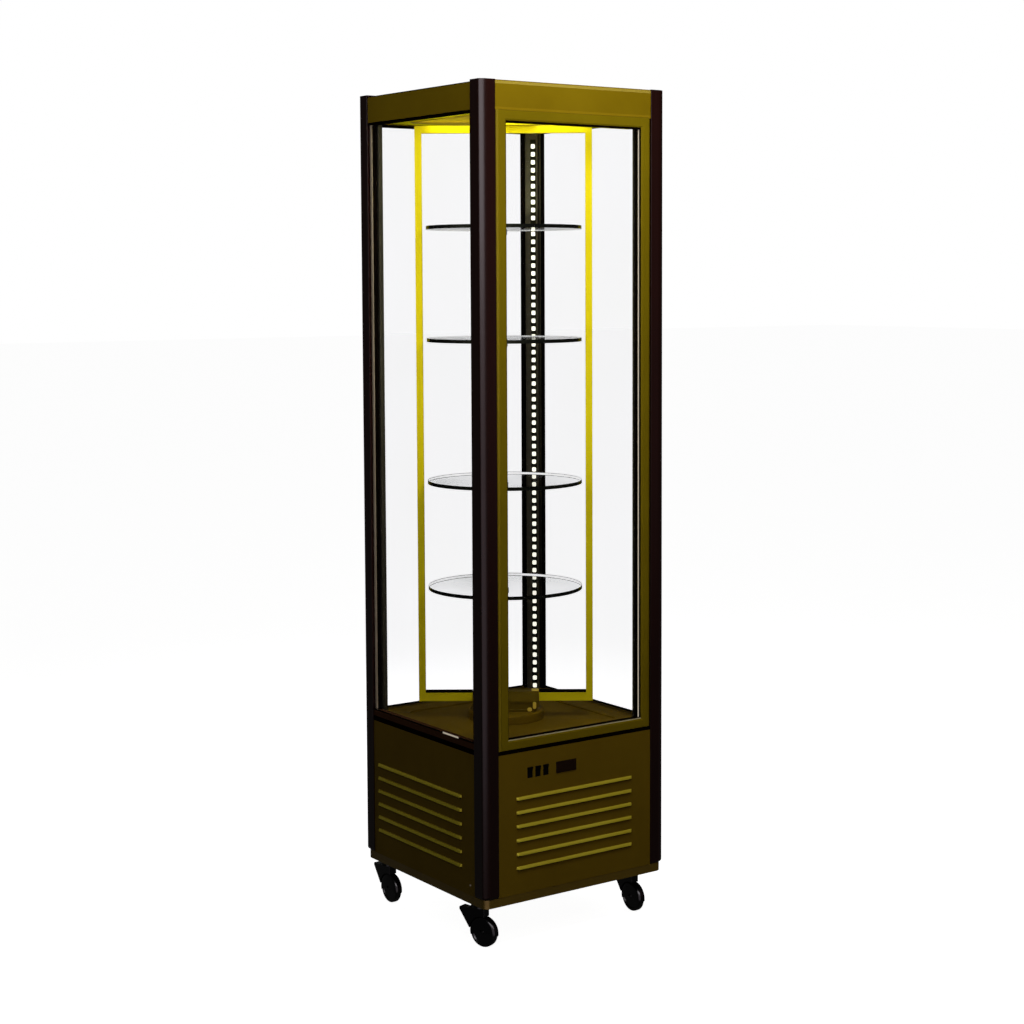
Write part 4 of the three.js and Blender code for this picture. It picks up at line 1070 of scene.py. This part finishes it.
def panel_screw():
    """The small round screw head low on the left panel, beside the near post."""
    rise = low_of("machine_panel_left").z + SCREW_RISE
    place = facing("left", FACE) @ Matrix.Translation((SCREW_PLACE, rise, 0))
    dome = arc((0, 0), 1, -90, 0, 6)
    profile = [(SCREW_RADIUS * r, SCREW_RADIUS / 2 * w - SCREW_SEAT) for r, w in dome]
    form = Form().lathe([*profile, (SCREW_RADIUS, -GAP), (0, -GAP)], 20, place)
    make_piece("panel_screw", form, [spacer_metal], "root")


def controls():
    refine("switch_housing", black_trim, "root", edge=0.0004)
    for index in (1, 2, 3):
        rocker = f"rocker_{index}"
        refine(f"switch_{rocker}", switch_plastic, rocker, edge=0.0006, edge_steps=3)
    refine("temperature_controller", display_plastic, "root", edge=0.0005)


def machinery():
    refine("compressor", black_trim, "root", edge=0.002, edge_steps=3)
    for node in ("condenser", "evaporator"):
        refine(node, fin_metal, "root", edge=0.0005)
    refine("gear_motor", steel, "root", edge=0.001)
    refine("fan_motor", black_trim, "root", edge=0.001)
    refine("condenser_fan", black_trim, "fan", edge=0.0004)


# Casters


def channel_section():
    """The caster hood's U section: offset along the axle and distance from it, round the shoulders."""
    inner = WHEEL_RADIUS + HOOD_GAP - HOOD_LAP
    outer = WHEEL_RADIUS + HOOD_GAP + HOOD_WALL
    side = WHEEL_HALF + HOOD_SIDE_GAP
    right = arc((FORK_HALF - HOOD_SHOULDER, outer - HOOD_SHOULDER), HOOD_SHOULDER, 0, 90, 6)
    left = [(-offset, reach) for offset, reach in right[::-1]]
    outside = [(FORK_HALF, HOOD_LEGS), *right, *left, (-FORK_HALF, HOOD_LEGS)]
    return outside + [(-side, HOOD_LEGS), (-side, inner), (side, inner), (side, HOOD_LEGS)]


def caster_hood(form, place):
    """The hood swept round the wheel's axle, from its leading edge over the top to its trailing edge."""
    hub = Vector((CASTER_TRAIL, 0, WHEEL_RADIUS))
    sections = []
    for ahead, up in arc((0, 0), 1, *HOOD_ARC, HOOD_STEPS):
        points = [Vector((ahead * reach, offset, up * reach)) for offset, reach in channel_section()]
        sections.append([hub + point for point in points])
    form.loft(sections, place)


def caster_neck(form, place):
    """The web from the hood up to the swivel, drawn out in front into the brake lever."""
    outer = WHEEL_RADIUS + HOOD_GAP + HOOD_WALL - NECK_LAP
    top_angle = math.degrees(math.acos((NECK_RADIUS - CASTER_TRAIL) / outer))
    outline = arc((CASTER_TRAIL, WHEEL_RADIUS), outer, top_angle, NECK_BACK, NECK_STEPS)
    outline += [(u - LEVER_REACH, v + LEVER_TOP) for u, v in LEVER_TIP]
    outline += [(u - NECK_RADIUS, v + LEVER_TOP) for u, v in LEVER_ROOT]
    outline += [(-NECK_RADIUS, NECK_TOP), (NECK_RADIUS, NECK_TOP)]
    outline.append((NECK_RADIUS, LEVER_TOP - LEVER_THICKNESS))
    half = FORK_HALF - NECK_INSET
    form.prism(outline, -half, half, place @ elevation())


def caster_swivel(form, top, place):
    """The round swivel over the neck, and the stem up into the cabinet's tray."""
    swivel = top - SWIVEL_DROP
    disc = [(0, NECK_TOP - NECK_DISC), (NECK_RADIUS, NECK_TOP - NECK_DISC), (NECK_RADIUS, NECK_TOP)]
    cone = [(SWIVEL_RADIUS, NECK_TOP + SWIVEL_CONE), (SWIVEL_RADIUS, swivel), (0, swivel)]
    form.lathe(disc + cone, 32, place)
    foot = top - STEM_LENGTH
    form.lathe([(0, foot), (STEM_RADIUS, foot), (STEM_RADIUS, top), (0, top)], 16, place)


def caster_fork(name, place, axle):
    node = f"caster_fork_{name}"
    form = Form()
    caster_hood(form, place)
    caster_neck(form, place)
    caster_swivel(form, high_of(node).z, place)
    pin = [(0, -AXLE_HALF), (AXLE_RADIUS, -AXLE_HALF), (AXLE_RADIUS, AXLE_HALF), (0, AXLE_HALF)]
    form.lathe(pin, 16, axle)
    body = f"caster_{name}"
    make_piece(f"{node}_skin", form, [caster_plastic], body, (node,), CASTER_EDGE, 3, 38)


def caster_wheel(name, axle):
    node = f"caster_wheel_{name}"
    centre = (WHEEL_RADIUS - TYRE_SHOULDER, WHEEL_HALF - TYRE_SHOULDER)
    tread = arc(centre, TYRE_SHOULDER, 0, 90, 5)
    web = WHEEL_RADIUS - TYRE_BAND
    face = WHEEL_HALF - WHEEL_DISH
    half = [*tread, (web + WHEEL_DISH, WHEEL_HALF), (web, face), (WHEEL_BORE, face)]
    profile = [(reach, -offset) for reach, offset in half[::-1]] + half
    form = Form().lathe(profile, 48, axle)
    make_piece(f"{node}_tyre", form, [tyre_rubber], f"wheel_{name}", (node,), smooth=40)


def casters():
    for name, heading in HEADINGS.items():
        low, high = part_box(f"caster_wheel_{name}")
        hub = (low + high) / 2
        turn = Matrix.Rotation(math.radians(heading), 4, "Z")
        stem = Vector((hub.x, hub.y, 0)) - turn @ Vector((CASTER_TRAIL, 0, 0))
        place = Matrix.Translation(stem) @ turn
        axle = place @ Matrix.Translation((CASTER_TRAIL, 0, WHEEL_RADIUS)) @ ALONG_Y
        caster_fork(name, place, axle)
        caster_wheel(name, axle)


# Studio


def pale_floor():
    """A wide white floor that shows as white as the background and keeps the cabinet's soft shadow."""
    form = Form()
    form.mesh.faces.new([form.mesh.verts.new((x * FLOOR_REACH, y * FLOOR_REACH, 0)) for x, y in SQUARE])
    floor = add_object("floor", form.finished_mesh("floor"))
    finish = Finish("floor").tint(FLOOR_DARK, FLOOR_LIGHT, scale=2, detail=2)
    finish.set(Roughness=0.9, Specular_IOR_Level=0.0)
    glow = finish.node("ShaderNodeEmission", Strength=FLOOR_GLOW)
    lit = finish.node("ShaderNodeAddShader")
    finish.link(finish.shader.outputs["BSDF"], lit.inputs[0])
    finish.link(glow.outputs["Emission"], lit.inputs[1])
    dim = finish.node("ShaderNodeBsdfDiffuse", Color=FLOOR_DIM)
    finish.mix(seen_share(finish.tree), dim.outputs["BSDF"], lit.outputs["Shader"])
    floor.data.materials.append(finish.material)
    floor.visible_glossy = False


def seen_share(tree):
    """How much of the white surroundings a ray meets: all for the camera and through glass, little in a
    gloss, and none in the light that a matt surface gathers."""
    path = tree.nodes.new("ShaderNodeLightPath")

    def joined(operation, first, second):
        item = tree.nodes.new("ShaderNodeMath")
        item.operation = operation
        for socket, source in zip(item.inputs, (first, second)):
            if isinstance(source, (int, float)):
                socket.default_value = source
            else:
                tree.links.new(source, socket)
        return item.outputs["Value"]

    seen = joined("MAXIMUM", path.outputs["Is Camera Ray"], path.outputs["Is Glossy Ray"])
    seen = joined("MAXIMUM", seen, path.outputs["Is Transmission Ray"])
    mirrored = joined("MINIMUM", path.outputs["Glossy Depth"], 1)
    dimmed = joined("SUBTRACT", 1, joined("MULTIPLY", mirrored, 1 - GLOSS_SHARE))
    direct = joined("SUBTRACT", 1, joined("MINIMUM", path.outputs["Diffuse Depth"], 1))
    return joined("MULTIPLY", joined("MULTIPLY", seen, dimmed), direct)


def background():
    world = bpy.data.worlds.new("studio")
    bpy.context.scene.world = world
    world.use_nodes = True
    tree = world.node_tree
    node = fill(tree.nodes["Background"], Color=(1, 1, 1, 1))
    strength = fill(tree.nodes.new("ShaderNodeMapRange"), To_Min=AMBIENT, To_Max=1)
    tree.links.new(seen_share(tree), strength.inputs["Value"])
    tree.links.new(strength.outputs["Result"], node.inputs["Strength"])


def lamp(name, place, target, size, watts, colour=(1, 1, 1), gloss=False):
    """A soft rectangular lamp that the camera doesn't see. It lights only glosses, or all but glosses."""
    data = bpy.data.lights.new(name, "AREA")
    data.shape = "RECTANGLE"
    data.size, data.size_y = size
    data.energy = watts
    data.color = colour
    item = add_object(name, data)
    item.location = place
    item.rotation_mode = "QUATERNION"
    item.rotation_quaternion = (Vector(target) - Vector(place)).to_track_quat("-Z", "Y")
    item.visible_camera = False
    item.visible_transmission = False
    item.visible_glossy = gloss
    item.visible_diffuse = not gloss
    return data


def studio_light():
    """Lamps round the cabinet, small ones in it, and soft boxes that draw the gloss on the near post."""
    lamp("key", (-0.12, -1.2, 2.3), (0.0, -0.24, 1.65), (0.6, 0.6), 12.5, (0.98, 1, 0.92))
    lamp("front_fill", (0.9, -2.6, 0.9), (0.1, -0.24, 0.7), (1.2, 1.2), 3.4, (1, 0.88, 0.72))
    lamp("camera_side", (-1.9, -2.5, 2.3), (0, 0, 1.3), (1.0, 0.9), 5)
    strip = lamp("left_strip", (-1.87, -1.2, 2.0), (-0.24, -0.1, 1.75), (0.3, 0.9), 1.6)
    strip.spread = math.radians(70)
    lamp("rear_fill", (1.8, 1.6, 2.0), (0.2, 0.2, 1.0), (1.2, 1.2), 6)
    lamp("inside", (AXIS_X, AXIS_Y, CEILING - 0.004), (AXIS_X, AXIS_Y, 0), (0.3, 0.3), 1.0, (0.94, 1, 0.8))
    lamp("inside_up", (0.11, 0.13, CEILING - 0.2), (0.11, 0.13, CEILING), (0.16, 0.16), 0.4, (0.96, 1, 0.7))
    lamp("inside_front", (-0.17, -0.16, 1.42), (0.05, 0.05, 1.42), (0.02, 0.7), 0.9, (1, 1, 0.85))
    lamp("inside_left", (-0.2, -0.12, 1.35), (-0.172, 0.122, 1.3), (0.02, 0.9), 0.2, (1, 1, 0.9))
    lamp("back_fill", (-0.2, 2.6, 0.9), (0, 0.24, 0.7), (1.6, 1.6), 9)
    post = (-0.24, -0.24)
    left = (-2.17, -2.92)
    width = 4.9
    lamp("soft_box_high", (*left, 2.12), (*post, 1.9), (width, 1.55), 145, (1, 0.95, 1), gloss=True)
    lamp("soft_box_low", (*left, 0.1), (*post, 0.4), (width, 2.5), 42, (1, 0.86, 0.96), gloss=True)
    lamp("soft_box_front", (1.5, -2.67, 1.5), (*post, 1.4), (2.0, 2.6), 2.4, (1, 0.5, 0.54), gloss=True)


def camera():
    data = bpy.data.cameras.new("camera")
    data.sensor_width = SENSOR_MM
    data.lens = FOCAL_PIXELS / IMAGE_PIXELS * SENSOR_MM
    data.shift_x = (IMAGE_PIXELS / 2 - CENTRE_PIXELS[0]) / IMAGE_PIXELS
    data.shift_y = (CENTRE_PIXELS[1] - IMAGE_PIXELS / 2) / IMAGE_PIXELS
    item = add_object("camera", data)
    bpy.context.scene.camera = item
    turn = Matrix.Rotation(-CAMERA_AZIMUTH, 4, "Z")
    tilt = Matrix.Rotation(math.pi / 2 - CAMERA_PITCH, 4, "X")
    roll = Matrix.Rotation(CAMERA_ROLL, 4, "Z")
    item.matrix_world = Matrix.Translation(CAMERA_PLACE) @ turn @ tilt @ roll


casing()
for glazed_side in GLAZED_SIDES:
    fixed_pane(glazed_side)
interior()
carousel()
door()
seam_trims()
machine_panels()
panel_screw()
controls()
machinery()
casters()
pale_floor()
background()
studio_light()
camera()
bpy.context.scene.view_settings.view_transform = "Standard"
